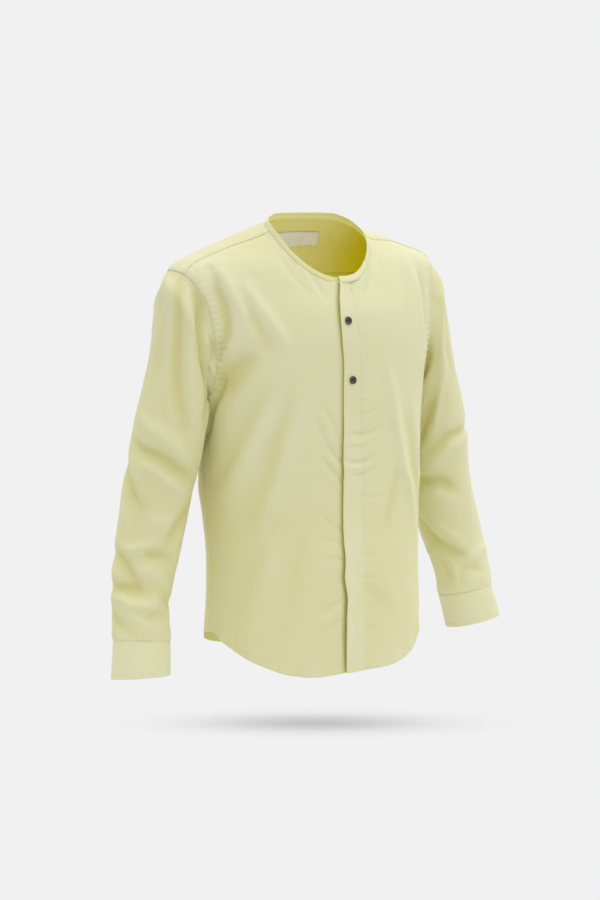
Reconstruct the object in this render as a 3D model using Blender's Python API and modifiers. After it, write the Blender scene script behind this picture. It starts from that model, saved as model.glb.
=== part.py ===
"""Band-collar long-sleeved shirt, worn shape, hollow, with no wearer.

Frame: metres, +Z up, the shirt's front faces -Y, +X is the wearer's left.
The origin is at the base of the neck, level with the top of the shoulders,
where the wearer's shoulders carry the shirt.

The body cloth lies on one surface made of horizontal sections (TORSO_COLS).
A point of that surface is named by phi, the angle round the body (0 at the
front centre, + toward the wearer's left, 180 at the back centre), and by its
depth below the neck.  Every seam is a curve in (phi, depth); the panels are
lofted between their seams and given the cloth's thickness with Solidify.
"""
import math

import bpy
import numpy as np

# ------------------------------------------------------------------ sizes (m)
WALL = 0.0012            # cloth, two layers pressed where it is turned
SEAM_GAP = 0.0003        # between pieces that are sewn together
NECK_HALF_WIDTH = 0.0912
NECK_HALF_DEPTH = 0.0615
NECK_CENTRE_Y = -0.0195
BAND_HEIGHT = 0.0100
PLACKET_RIGHT_X = -0.0155     # free edge, over the wearer's right front
PLACKET_LEFT_X = 0.0180
STAND_EDGE_X = 0.0138         # edge of the right front under the placket
LEFT_FRONT_X = 0.0150         # edge of the left front under the placket
PLACKET_LIFT = 0.0019         # placket's face above the fronts' face
BUTTON_DIAMETER = 0.0125
BUTTON_THICK = 0.0026
BUTTON_DEPTHS = (0.1574, 0.2496)
CUFF_BUTTON_DIAMETER = 0.0105
YOKE_BACK_DEPTH = 0.105
LABEL_HALF_WIDTH = 0.0450
LABEL_CENTRE_X = 0.0060
LABEL_TOP, LABEL_BOTTOM = 0.0270, 0.0500

# horizontal sections of the body: depth below the neck, half width, Y of the
# front, Y of the side, Y of the back, roundness of the front and of the back
TORSO_COLS = ("depth", "half_width", "y_front", "y_side", "y_back", "n_front", "n_back")
TORSO = (
    (-.010, .046, -.000, .022, .028, 2.00, 2.00),
    (.000, .060, -.010, .024, .036, 2.00, 2.00),
    (.006, .080, -.018, .026, .043, 2.00, 2.00),
    (.012, .098, -.025, .027, .050, 2.00, 2.00),
    (.020, .121, -.034, .028, .058, 2.00, 2.00),
    (.036, .160, -.047, .031, .070, 2.00, 2.00),
    (.052, .199, -.056, .033, .080, 2.00, 2.00),
    (.066, .224, -.064, .034, .088, 2.05, 2.10),
    (.082, .236, -.073, .034, .095, 2.10, 2.20),
    (.105, .239, -.084, .032, .103, 2.15, 2.30),
    (.150, .232, -.103, .026, .112, 2.20, 2.40),
    (.200, .220, -.112, .018, .116, 2.30, 2.40),
    (.275, .203, -.116, .008, .114, 2.35, 2.40),
    (.350, .196, -.117, .003, .112, 2.35, 2.40),
    (.420, .196, -.117, .001, .112, 2.30, 2.40),
    (.470, .193, -.117, .000, .107, 2.30, 2.30),
    (.540, .1905, -.117, .000, .095, 2.30, 2.15),
    (.650, .1925, -.119, .000, .096, 2.30, 2.15),
    (.780, .1955, -.121, .000, .101, 2.30, 2.15),
)

# armhole seam, from the shoulder point (0) to the underarm (1): depth, and
# how many degrees of phi the seam lies in front of and behind the side
ARMHOLE_COLS = ("t", "depth", "front_deg", "back_deg")
ARMHOLE = (
    (0.00, .0785, 0.0, 0.0),
    (0.08, .0815, 12.0, 12.0),
    (0.20, .1000, 22.5, 22.0),
    (0.35, .1300, 27.0, 25.0),
    (0.50, .1650, 27.0, 25.0),
    (0.65, .2050, 24.0, 23.0),
    (0.80, .2450, 19.5, 18.0),
    (0.92, .2750, 12.0, 10.0),
    (1.00, .2840, 0.0, 0.0),
)

# front yoke seam, neck to armhole: phi (deg), depth
FRONT_YOKE = ((38.5, .0225), (50.0, .0300), (62.0, .0380), (70.0, .0545), (74.7, .0758))

# shirt-tail hem: phi (deg), depth
HEM = ((-10, .7175), (0, .7170), (15, .7175), (30, .7125), (45, .6990), (60, .6830),
       (75, .6670), (92, .6550), (110, .6580), (130, .6720), (150, .6950), (170, .7120),
       (180, .7150), (190, .7150))

# side seam: phi at the underarm and lower down (deg)
SIDE_PHI = (90.0, 92.5)

# sleeve sections, shoulder to wrist: centre X, centre Y, depth, tilt outward,
# tilt forward (deg), half width, half thickness, roundness
SLEEVE_COLS = ("x", "y", "depth", "tilt_out", "tilt_fwd", "half_width", "half_thick", "n")
SLEEVE = (
    (.2325, .0200, .1925, 74.0, 0.0, .0980, .0600, 2.00),
    (.2370, .0200, .2100, 69.0, 0.0, .0860, .0620, 2.00),
    (.2410, .0200, .2385, 57.0, 0.0, .0685, .0640, 2.00),
    (.2465, .0210, .2725, 42.0, 1.0, .0580, .0650, 2.00),
    (.2535, .0220, .3125, 24.0, 2.0, .0555, .0640, 2.00),
    (.2605, .0230, .3575, 13.0, 2.0, .0570, .0610, 2.00),
    (.2700, .0250, .4100, 11.0, 2.0, .0560, .0570, 2.00),
    (.2820, .0250, .4700, 12.0, 4.0, .0545, .0530, 2.00),
    (.2935, .0220, .5200, 13.0, 7.0, .0530, .0490, 2.00),
    (.3035, .0180, .5680, 12.0, 10.0, .0505, .0440, 2.00),
    (.3120, .0100, .6040, 11.0, 11.0, .0490, .0400, 2.00),
    (.3190, .0030, .6400, 9.5, 10.0, .0480, .0360, 2.10),
)
# cuff sections, seam to edge, same columns
CUFF = (
    (.3192, .0028, .6409, 9.5, 10.0, .0485, .0365, 2.15),
    (.3240, -.0035, .6700, 9.5, 10.0, .0490, .0365, 2.20),
    (.3288, -.0090, .7010, 9.5, 10.0, .0492, .0360, 2.20),
)
CUFF_START, CUFF_LAP = 275.0, 32.0       # deg round the wrist: first end, overlap

# largest folds of the body cloth: phi and depth of both ends, half width (m),
# height (m, minus is a trough)
BODY_FOLD_COLS = ("phi_a", "depth_a", "phi_b", "depth_b", "half_width", "height")
BODY_FOLDS = (
    (-50, .100, -54, .205, .012, -.0050),
    (-42, .085, -29, .175, .012, .0035),
    (-42, .258, -80, .395, .020, -.0040),
    (-29, .260, -60, .480, .022, -.0035),
    (20, .272, 54, .505, .018, .0040),
    (24, .420, 16, .490, .018, -.0030),
    (48, .110, 56, .215, .012, -.0040),
    (150, .160, 112, .300, .022, -.0045),
    (-152, .150, -114, .290, .022, -.0045),
    (165, .330, 138, .520, .026, -.0040),
    (-168, .350, -140, .540, .026, .0040),
    (178, .180, 176, .420, .024, .0030),
)
# largest folds of the sleeves: angle round the arm (deg, 0 outward, 90 front,
# 180 toward the body) and station of both ends, half width, height
SLEEVE_FOLD_COLS = ("ang_a", "st_a", "ang_b", "st_b", "half_width", "height")
SLEEVE_FOLDS_RIGHT = (
    (60, 2.0, 118, 5.0, .014, -.0040),
    (350, 7.1, 100, 7.6, .013, -.0050),
    (20, 6.4, 60, 6.6, .013, .0035),
    (330, 7.3, 30, 8.6, .012, -.0030),
    (340, 9.9, 40, 10.4, .012, -.0035),
    (50, 10.2, 100, 9.7, .012, -.0035),
    (0, 11.6, 95, 11.7, .010, .0030),
    (200, 7.0, 290, 7.5, .014, -.0045),
    (215, 9.8, 280, 10.2, .012, -.0035),
)
SLEEVE_FOLDS_LEFT = (
    (60, 2.0, 118, 4.6, .014, -.0035),
    (122, 5.9, 146, 7.2, .013, -.0040),
    (39, 7.4, 144, 7.9, .014, -.0050),
    (158, 8.5, 110, 8.6, .012, -.0035),
    (176, 9.9, 120, 11.3, .012, -.0035),
    (20, 9.8, 70, 10.2, .012, -.0030),
    (200, 7.0, 290, 7.5, .014, -.0045),
    (215, 9.8, 280, 10.2, .012, -.0035),
)

# mesh density
FRONT_COLS, NECK_ROWS, CENTRE_ROWS, ARM_FRONT_ROWS, SIDE_ROWS = 9, 3, 18, 8, 13
BACK_COLS, ARM_BACK_ROWS = 13, 7
YOKE_ARM_COLS = 5
SLEEVE_ROWS = 18

CLOTH = (0.700, 0.675, 0.395)
CLOTH_DARK = (0.640, 0.612, 0.330)
BUTTON_COLOUR = (0.030, 0.028, 0.024)
LABEL_COLOUR = (0.600, 0.580, 0.520)


# ------------------------------------------------------------- small helpers
def blend_curve(xs, ys, x):
    """Smooth curve through a table's points with no overshoot."""
    xs, ys = np.asarray(xs, float), np.asarray(ys, float)
    x = np.asarray(x, float)
    h = np.diff(xs)
    d = np.diff(ys) / h
    m = np.zeros_like(ys)
    total = d[:-1] + d[1:]
    m[1:-1] = np.where(d[:-1] * d[1:] > 0, 2 * d[:-1] * d[1:] / np.where(total == 0, 1, total), 0)
    m[0], m[-1] = d[0], d[-1]
    i = np.clip(np.searchsorted(xs, x, side="right") - 1, 0, len(h) - 1)
    t = np.clip((x - xs[i]) / h[i], -0.5, 1.5)
    return ((2 * t**3 - 3 * t**2 + 1) * ys[i] + (t**3 - 2 * t**2 + t) * h[i] * m[i]
            + (-2 * t**3 + 3 * t**2) * ys[i + 1] + (t**3 - t**2) * h[i] * m[i + 1])


def ease(x, a, b):
    t = np.clip((np.asarray(x, float) - a) / (b - a), 0, 1)
    return t * t * (3 - 2 * t)


def unit(v):
    return v / np.maximum(np.linalg.norm(v, axis=-1, keepdims=True), 1e-12)


def column(table, k):
    return [row[k] for row in table]


def fold_height(u, v, folds):
    """Sum of soft straight folds; u and v in metres, ends given in metres."""
    h = np.zeros(np.broadcast(u, v).shape)
    for ua, va, ub, vb, w, amp in folds:
        du, dv = ub - ua, vb - va
        ll = du * du + dv * dv
        t = np.clip(((u - ua) * du + (v - va) * dv) / ll, 0, 1)
        r2 = (u - ua - t * du) ** 2 + (v - va - t * dv) ** 2
        h = h + amp * np.exp(-r2 / (w * w)) * (0.55 + 0.45 * np.sin(math.pi * t))
    return h


# --------------------------------------------------------- the body's surface
def section(depth):
    return [blend_curve(column(TORSO, 0), column(TORSO, k), depth) for k in range(1, 7)]


def on_body(phi, depth):
    """Point of the smooth body surface."""
    phi, depth = np.broadcast_arrays(np.asarray(phi, float), np.asarray(depth, float))
    a, yf, ys, yb, nf, nb = section(depth)
    s, c = np.sin(phi), np.cos(phi)
    n = np.where(c > 0, nf, nb)
    reach = np.where(c > 0, ys - yf, yb - ys)
    x = a * np.sign(s) * np.abs(s) ** (2 / n)
    y = ys - reach * np.sign(c) * np.abs(c) ** (2 / n)
    return np.stack([x, y, -depth], -1)


def body_normal(phi, depth):
    e = 2e-4
    n = unit(np.cross(on_body(phi + e, depth) - on_body(phi - e, depth),
                      on_body(phi, depth + e) - on_body(phi, depth - e)))
    p = on_body(phi, depth)
    out = p[..., 0] * n[..., 0] + (p[..., 1] - 0.02) * n[..., 1]
    return n * np.where(out < 0, -1.0, 1.0)[..., None]


DEG_TO_M = 0.0033                       # arc of one degree of phi


def body_point(phi, depth, lift=0.0):
    """Body surface with its large folds, moved out by lift."""
    phi, depth = np.broadcast_arrays(np.asarray(phi, float), np.asarray(depth, float))
    deg = np.degrees(phi)
    deg = (deg + 180.0) % 360.0 - 180.0
    u = deg * DEG_TO_M
    folds = [(r[0] * DEG_TO_M, r[1], r[2] * DEG_TO_M, r[3], r[4], r[5]) for r in BODY_FOLDS]
    h = fold_height(u, depth, folds)
    hem_fade = 1 - 0.5 * ease(depth, .62, .74)
    return on_body(phi, depth) + body_normal(phi, depth) * (h * hem_fade + lift)[..., None]


def phi_depth_over(x, y):
    """phi and depth of the surface over a plan point near the neck."""
    x, y = np.asarray(x, float), np.asarray(y, float)
    lo, hi = np.full(x.shape, -.010), np.full(x.shape, .14)
    for _ in range(40):
        mid = (lo + hi) / 2
        a, yf, ys, yb, nf, nb = section(mid)
        front = y < ys
        n = np.where(front, nf, nb)
        reach = np.where(front, ys - yf, yb - ys)
        outside = np.abs(x / a) ** n + np.abs((y - ys) / reach) ** n > 1
        lo, hi = np.where(outside, mid, lo), np.where(outside, hi, mid)
    d = (lo + hi) / 2
    a, yf, ys, yb, nf, nb = section(d)
    front = y < ys
    s = np.clip(np.abs(x / a), 0, 1) ** (np.where(front, nf, nb) / 2)
    ph = np.arcsin(np.clip(s, 0, 1))
    ph = np.where(front, ph, math.pi - ph)
    return np.sign(np.where(x == 0, 1, x)) * ph, d


def phi_at_x(x, depth):
    """phi of a point of the front at a given X."""
    a, yf, ys, yb, nf, nb = section(depth)
    return np.sign(x) * np.arcsin(np.clip(np.abs(x) / a, 0, 1) ** (nf / 2))


def neck_seam(psi):
    """(phi, depth) of the neck seam at psi round the neck, 0 at the front."""
    q = np.where(psi > math.pi, 2 * math.pi - psi, psi)
    ph, d = phi_depth_over(NECK_HALF_WIDTH * np.sin(q), NECK_CENTRE_Y - NECK_HALF_DEPTH * np.cos(q))
    return np.where(psi > math.pi, 2 * math.pi - ph, ph), d


def armhole_front(t):
    return (np.radians(90 - blend_curve(column(ARMHOLE, 0), column(ARMHOLE, 2), t)),
            blend_curve(column(ARMHOLE, 0), column(ARMHOLE, 1), t))


def armhole_back(t):
    return (np.radians(90 + blend_curve(column(ARMHOLE, 0), column(ARMHOLE, 3), t)),
            blend_curve(column(ARMHOLE, 0), column(ARMHOLE, 1), t))


def hem_depth(phi):
    deg = np.degrees(np.abs(phi))
    deg = np.where(deg > 180, 360 - deg, deg)
    return blend_curve(column(HEM, 0), column(HEM, 1), deg)


def spaced(curve, n):
    """n + 1 points evenly spaced along a (phi, depth) curve."""
    curve = np.asarray(curve, float)
    p = on_body(curve[:, 0], curve[:, 1])
    run = np.concatenate([[0], np.cumsum(np.linalg.norm(np.diff(p, axis=0), axis=1))])
    t = np.linspace(0, run[-1], n + 1)
    return np.stack([np.interp(t, run, curve[:, 0]), np.interp(t, run, curve[:, 1])], -1)


def loft(top, bottom, first, last):
    """(phi, depth) grid between four seams."""
    u = np.linspace(0, 1, len(top))[None, :, None]
    v = np.linspace(0, 1, len(first))[:, None, None]
    return ((1 - v) * top[None] + v * bottom[None] + (1 - u) * first[:, None] + u * last[:, None]
            - ((1 - u) * (1 - v) * top[0] + u * (1 - v) * top[-1]
               + (1 - u) * v * bottom[0] + u * v * bottom[-1]))


def bordered(g, where):
    """Extra line of points close inside the named edges of a (phi, depth)
    grid, so that the cloth's edge faces squarely along the body there."""
    k = .16
    if "left" in where:
        g = np.concatenate([g[:, :1], g[:, :1] * (1 - k) + g[:, 1:2] * k, g[:, 1:]], 1)
    if "right" in where:
        g = np.concatenate([g[:, :-1], g[:, -1:] * (1 - k) + g[:, -2:-1] * k, g[:, -1:]], 1)
    if "top" in where:
        g = np.concatenate([g[:1], g[:1] * (1 - k) + g[1:2] * k, g[1:]], 0)
    if "bottom" in where:
        g = np.concatenate([g[:-1], g[-1:] * (1 - k) + g[-2:-1] * k, g[-1:]], 0)
    return g


def pinned(curve, start, end):
    k = np.linspace(0, 1, len(curve))[:, None]
    return curve + (1 - k) * (start - curve[0]) + k * (end - curve[-1])


# ----------------------------------------------------------------- the seams
def front_yoke_seam():
    k = np.linspace(0, 1, 60)
    kk = np.linspace(0, 1, len(FRONT_YOKE))
    curve = np.stack([np.radians(blend_curve(kk, column(FRONT_YOKE, 0), k)),
                      blend_curve(kk, column(FRONT_YOKE, 1), k)], -1)
    psi = np.radians(np.linspace(60, 110, 400))
    nph, nd = neck_seam(psi)
    i = int(np.argmin(np.abs(nd - FRONT_YOKE[0][1])))
    t = np.linspace(0, .3, 600)
    aph, ad = armhole_front(t)
    j = int(np.argmin((ad - FRONT_YOKE[-1][1]) ** 2 * 25 + (aph - math.radians(FRONT_YOKE[-1][0])) ** 2))
    kc = k[:, None]
    curve = (curve + (1 - kc) ** 3 * (np.array([nph[i], nd[i]]) - curve[0])
             + kc ** 3 * (np.array([aph[j], ad[j]]) - curve[-1]))
    return curve, psi[i], t[j]


YOKE_FRONT_CURVE, YOKE_PSI, YOKE_T_FRONT = front_yoke_seam()


def back_yoke_seam():
    def depth(ph):
        return YOKE_BACK_DEPTH - .004 * np.cos((ph - math.pi) * 1.2)
    t = np.linspace(0, .6, 1200)
    aph, ad = armhole_back(t)
    j = int(np.argmin(np.abs(ad - depth(aph)) + (aph < math.radians(100)) * 1.0))
    ph = np.linspace(aph[j], 2 * math.pi - aph[j], 121)
    d = depth(ph) + (ad[j] - depth(aph[j])) * np.abs((ph - math.pi) / (aph[j] - math.pi)) ** 4
    return np.stack([ph, d], -1), t[j]


YOKE_BACK_CURVE, YOKE_T_BACK = back_yoke_seam()


def side_seam():
    d1, d2 = ARMHOLE[-1][1], float(hem_depth(math.radians(SIDE_PHI[1])))
    d = np.linspace(d1, d2, 120)
    ph = SIDE_PHI[0] + (SIDE_PHI[1] - SIDE_PHI[0]) * ease((d - d1) / (d2 - d1), 0, .4)
    return np.stack([np.radians(ph), d], -1)


def mirror(curve):
    m = curve.copy()
    m[..., 0] = 2 * math.pi - m[..., 0]
    return m


# ---------------------------------------------------------------- the panels
def front_panel(side, edge_x):
    """Rows run from the centre edge to the armhole and side seam."""
    e = side * edge_x
    neck = spaced(np.stack(neck_seam(np.linspace(YOKE_PSI, math.asin(e / NECK_HALF_WIDTH), 200)), -1)
                  if e >= 0 else signed_neck(e), NECK_ROWS)
    d = np.linspace(neck[-1, 1], float(hem_depth(phi_at_x(e, .717))), 200)
    centre = spaced(np.stack([phi_at_x(e, d), d], -1), CENTRE_ROWS)
    neck[-1] = centre[0]
    first = np.concatenate([neck, centre[1:]])
    arm = spaced(np.stack(armhole_front(np.linspace(YOKE_T_FRONT, 1, 300)), -1), ARM_FRONT_ROWS)
    last = np.concatenate([arm, spaced(side_seam(), SIDE_ROWS)[1:]])
    top = pinned(spaced(YOKE_FRONT_CURVE, FRONT_COLS), first[0], last[0])
    ph = np.linspace(first[-1, 0], last[-1, 0], 300)
    bottom = pinned(spaced(np.stack([ph, hem_depth(ph)], -1), FRONT_COLS), first[-1], last[-1])
    g = loft(top, bottom, first, last)
    if side < 0:
        g[..., 0] *= -1
    return g


def signed_neck(e):
    """Neck seam from the yoke to a point just past the front centre."""
    psi = np.linspace(YOKE_PSI, math.asin(e / NECK_HALF_WIDTH), 200)
    ph, d = neck_seam(np.abs(psi))
    return np.stack([np.sign(psi) * np.abs(ph), d], -1)


def back_panel():
    arm = spaced(np.stack(armhole_back(np.linspace(YOKE_T_BACK, 1, 300)), -1), ARM_BACK_ROWS)
    first = np.concatenate([arm, spaced(side_seam(), SIDE_ROWS)[1:]])
    last = mirror(first)
    top = pinned(spaced(YOKE_BACK_CURVE, BACK_COLS), first[0], last[0])
    ph = np.linspace(first[-1, 0], last[-1, 0], 400)
    bottom = pinned(spaced(np.stack([ph, hem_depth(ph)], -1), BACK_COLS), first[-1], last[-1])
    return loft(top, bottom, first, last)


def yoke_arm_edge():
    a = np.stack(armhole_front(np.linspace(YOKE_T_FRONT, 0, 200)), -1)
    b = np.stack(armhole_back(np.linspace(0, YOKE_T_BACK, 200)), -1)
    return spaced(np.concatenate([a, b[1:]]), YOKE_ARM_COLS)


def yoke_neck_edge():
    turn = math.radians(132)
    i1 = spaced(np.stack(neck_seam(np.linspace(YOKE_PSI, turn, 300)), -1), YOKE_ARM_COLS)
    i2 = spaced(np.stack(neck_seam(np.linspace(turn, 2 * math.pi - turn, 300)), -1), BACK_COLS)
    i3 = mirror(i1)[::-1].copy()
    return np.concatenate([i1, i2[1:-1], i3])


def yoke_panel():
    """Strip from the left front seam round the back to the right front seam."""
    arm = yoke_arm_edge()
    back = spaced(YOKE_BACK_CURVE, BACK_COLS)
    back[0] = arm[-1]
    arm_right = mirror(arm)[::-1].copy()
    back[-1] = arm_right[0]
    outer = np.concatenate([arm, back[1:-1], arm_right])
    inner = yoke_neck_edge()
    end = pinned(spaced(YOKE_FRONT_CURVE, FRONT_COLS), inner[0], outer[0])
    return loft(end, mirror(end), inner, outer)


# --------------------------------------------------------------- the sleeves
def arm_frame(tilt_out, tilt_fwd):
    to, tf = math.radians(tilt_out), math.radians(tilt_fwd)
    down = np.array([math.sin(to) * math.cos(tf), -math.sin(tf), -math.cos(to) * math.cos(tf)])
    across = np.array([math.cos(to), 0, math.sin(to)])
    fore = np.cross(down, across)
    fore /= np.linalg.norm(fore)
    if fore[1] > 0:
        fore = -fore
    return down, across, fore


def arm_ring(row, ang, out=0.0):
    x, y, d, to, tf, p, q, n = row
    _, across, fore = arm_frame(to, tf)
    c, s = np.cos(ang), np.sin(ang)
    cc = np.sign(c) * np.abs(c) ** (2 / n)
    ss = np.sign(s) * np.abs(s) ** (2 / n)
    return (np.array([x, y, -d]) + (cc * (p + out))[:, None] * across
            + (ss * (q + out))[:, None] * fore)


def armhole_ring():
    """(phi, depth) and angle of each sleeve column, shoulder point region
    first, then down the front and back up the back, on the panels' points."""
    yoke = yoke_arm_edge()                       # front seam, over the top, back seam
    front = spaced(np.stack(armhole_front(np.linspace(YOKE_T_FRONT, 1, 300)), -1), ARM_FRONT_ROWS)
    back = spaced(np.stack(armhole_back(np.linspace(YOKE_T_BACK, 1, 300)), -1), ARM_BACK_ROWS)
    loop = np.concatenate([front, back[::-1][1:], yoke[::-1][1:-1]])
    # angle: from the seam's own parameter
    tt = np.linspace(0, 1, 2001)
    fph, fd = armhole_front(tt)
    bph, bd = armhole_back(tt)
    ang = []
    for ph, d in loop:
        kf = np.argmin(((ph - fph) * .2) ** 2 + (d - fd) ** 2)
        kb = np.argmin(((ph - bph) * .2) ** 2 + (d - bd) ** 2)
        ef = ((ph - fph[kf]) * .2) ** 2 + (d - fd[kf]) ** 2
        eb = ((ph - bph[kb]) * .2) ** 2 + (d - bd[kb]) ** 2
        ang.append(tt[kf] * math.pi if ef <= eb else 2 * math.pi - tt[kb] * math.pi)
    return loop, np.array(ang)


def sleeve_stations(loop, ang):
    """Control rings from the armhole seam to the wrist, wearer's left."""
    ph, d = loop[:, 0], loop[:, 1]
    start = body_point(ph, d)
    k = .12
    ahead = on_body(ph + (math.pi / 2 - ph) * k, d + (.18 - d) * k)
    along_body = unit(ahead - on_body(ph, d))
    along_arm = unit(arm_ring(SLEEVE[0], ang) - start)
    w = ease(np.abs(np.cos(ang / 2)), .15, .55)[:, None]
    way = unit(along_body * w + along_arm * (1 - w))
    clear = body_normal(ph, d) * (1 - w)             # underarm: stand off the body
    rings = [start + way * (SEAM_GAP + .0004) + clear * .0005,
             start + way * (.008 * w + .0015 * (1 - w)) + clear * .0018]
    rings += [arm_ring(r, ang) for r in SLEEVE]
    return np.array(rings)


def through(rings, at):
    """Smooth surface through the control rings at the given stations."""
    k = len(rings)
    run = np.maximum(np.linalg.norm(np.diff(rings, axis=0), axis=2), 1e-6)[..., None]
    chord = np.diff(rings, axis=0) / run
    slope = np.zeros_like(rings)
    slope[1:-1] = (chord[:-1] * run[1:] + chord[1:] * run[:-1]) / (run[:-1] + run[1:])
    slope[0], slope[-1] = chord[0], chord[-1]
    out = []
    for s in at:
        i = min(int(s), k - 2)
        t = s - i
        out.append((2 * t**3 - 3 * t**2 + 1) * rings[i] + (t**3 - 2 * t**2 + t) * run[i] * slope[i]
                   + (-2 * t**3 + 3 * t**2) * rings[i + 1] + (t**3 - t**2) * run[i] * slope[i + 1])
    return np.array(out)


def sleeve(side, folds):
    loop, ang = armhole_ring()
    if side < 0:
        loop = loop.copy()
        loop[:, 0] *= -1
        rings = sleeve_stations(np.stack([-loop[:, 0], loop[:, 1]], -1), ang)
        # the seam of the right armhole follows the right side's own folds
        seam = body_point(loop[:, 0], loop[:, 1]) * np.array([-1, 1, 1])
        shift = seam - body_point(-loop[:, 0], loop[:, 1])
        rings[0] += shift
        rings[1] += shift
    else:
        rings = sleeve_stations(loop, ang)
    at = np.concatenate([[0, 1, 1.6], np.linspace(2.3, len(rings) - 1, SLEEVE_ROWS - 2)])
    grid = through(rings, at)
    # folds across the tube
    centre = grid.mean(axis=1, keepdims=True)
    out = unit(grid - centre)
    arc = 0.055
    u = np.degrees(ang)[None, :] * np.ones((len(at), 1))
    v = at[:, None] * np.ones((1, len(ang)))
    h = np.zeros(u.shape)
    for aa, sa, ab, sb, w, amp in folds:
        if aa > ab:
            aa -= 360
        for turn in (-360, 0, 360):
            uu = np.radians(u + turn) * arc
            vv = v * .045
            h += fold_height(uu, vv, [(math.radians(aa) * arc, sa * .045, math.radians(ab) * arc,
                                       sb * .045, w, amp)])
    h *= ease(v, .8, 2.2) * (1 - ease(v, len(rings) - 1.7, len(rings) - 1.05))
    grid = grid + out * h[..., None]
    if side < 0:
        grid = grid * np.array([-1, 1, 1])
    return grid


def cuff(side):
    """A strip round the wrist whose outer end laps over the inner end."""
    n = 28
    deg = np.linspace(CUFF_START, CUFF_START + 360 + CUFF_LAP, n + 1)
    lap = 0.0019 * ease(deg, CUFF_START + 322, CUFF_START + 352)
    rows = []
    for row in CUFF:
        ring = []
        for a, o in zip(np.radians(deg), lap):
            ring.append(arm_ring(row, np.array([a]), o)[0])
        rows.append(ring)
    g = np.array(rows)
    if side < 0:
        g = g * np.array([-1, 1, 1])
    return g


# ------------------------------------------------------------- the neck band
def signed_neck_samples(e):
    return spaced(signed_neck(e), NECK_ROWS)


def band_grid():
    """Points in order of omega, the angle round the neck: 0 at the front
    centre, 90 at the wearer's right, 270 at the wearer's left."""
    # right front, same points as the right front panel
    stops = []
    for p in signed_neck_samples(-STAND_EDGE_X)[::-1]:
        stops.append((-p[0], p[1]))
    for p in yoke_neck_edge()[::-1][1:]:
        stops.append((p[0], p[1]))
    for p in signed_neck_samples(LEFT_FRONT_X)[1:]:
        stops.append((p[0], p[1]))
    end_psi = np.linspace(math.asin(LEFT_FRONT_X / NECK_HALF_WIDTH),
                          math.asin(PLACKET_RIGHT_X / NECK_HALF_WIDTH), 4)[1:]
    for q in end_psi:
        ph, d = neck_seam(np.array([abs(q)]))
        stops.append((math.copysign(float(ph[0]), q), float(d[0])))
    stops = np.array(stops)
    base = body_point(stops[:, 0], stops[:, 1])
    centre = np.array([0, NECK_CENTRE_Y])
    out = np.stack([base[:, 0] / NECK_HALF_WIDTH ** 2, (base[:, 1] - NECK_CENTRE_Y) / NECK_HALF_DEPTH ** 2,
                    np.zeros(len(base))], -1)
    out = unit(out)
    front = np.clip(-(base[:, 1] - NECK_CENTRE_Y) / NECK_HALF_DEPTH, 0, 1)
    lean = np.radians(24 + 12 * front)
    up = np.array([0, 0, 1.0])
    rise = -out * np.sin(lean)[:, None] + up * np.cos(lean)[:, None]
    face = out * np.cos(lean)[:, None] + up * np.sin(lean)[:, None]
    run = np.concatenate([[0], np.cumsum(np.linalg.norm(np.diff(base, axis=0), axis=1))])
    left_over = run[-1] - run
    lift = PLACKET_LIFT * (1 - ease(left_over, .038, .062))
    rows = [base + face * lift[:, None] + rise * r for r in (SEAM_GAP + .0003, BAND_HEIGHT * .55, BAND_HEIGHT)]
    return np.array(rows)


# ----------------------------------------------------------- making objects
def drop_old():
    for ob in list(bpy.data.objects):
        bpy.data.objects.remove(ob, do_unlink=True)


drop_old()
home = bpy.data.collections.new("band_collar_shirt")
bpy.context.scene.collection.children.link(home)


def material(name, rgb, rough, sheen=0.0):
    m = bpy.data.materials.new(name)
    m.use_nodes = True
    b = m.node_tree.nodes["Principled BSDF"]
    b.inputs["Base Color"].default_value = (*rgb, 1)
    b.inputs["Roughness"].default_value = rough
    b.inputs["Metallic"].default_value = 0.0
    if sheen:
        b.inputs["Sheen Weight"].default_value = sheen
    m.diffuse_color = (*rgb, 1)
    return m


def trim_edges(p, gap, closed=False):
    """Pull the rim of a grid in by half a seam's gap."""
    q = p.copy()
    q[0] += unit(p[1] - p[0]) * gap
    q[-1] += unit(p[-2] - p[-1]) * gap
    if not closed:
        r = q.copy()
        q[:, 0] += unit(r[:, 1] - r[:, 0]) * gap
        q[:, -1] += unit(r[:, -2] - r[:, -1]) * gap
    return q


def cloth_piece(name, grid, inward, closed=False, thick=WALL, rgb=CLOTH):
    """Open grid surface with Solidify; inward points are used to face it out."""
    rows, cols = grid.shape[:2]
    verts = grid.reshape(-1, 3)
    faces = []
    wrap = cols if closed else cols - 1
    for i in range(rows - 1):
        for j in range(wrap):
            k = (j + 1) % cols
            faces.append((i * cols + j, i * cols + k, (i + 1) * cols + k, (i + 1) * cols + j))
    a, b, c = (verts[faces[len(faces) // 2][m]] for m in (0, 1, 2))
    n = np.cross(b - a, c - b)
    if np.dot(n, (a + b + c) / 3 - inward) < 0:
        faces = [f[::-1] for f in faces]
    me = bpy.data.meshes.new(name)
    me.from_pydata([tuple(map(float, v)) for v in verts], [], faces)
    me.validate()
    me.shade_smooth()
    ob = bpy.data.objects.new(name, me)
    home.objects.link(ob)
    s = ob.modifiers.new("cloth", "SOLIDIFY")
    s.thickness = thick
    s.offset = -1
    s.use_even_offset = False
    s.use_quality_normals = True
    me.materials.append(material(name, rgb, 0.85, 0.3))
    return ob


HALF = SEAM_GAP * 0.85

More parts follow.
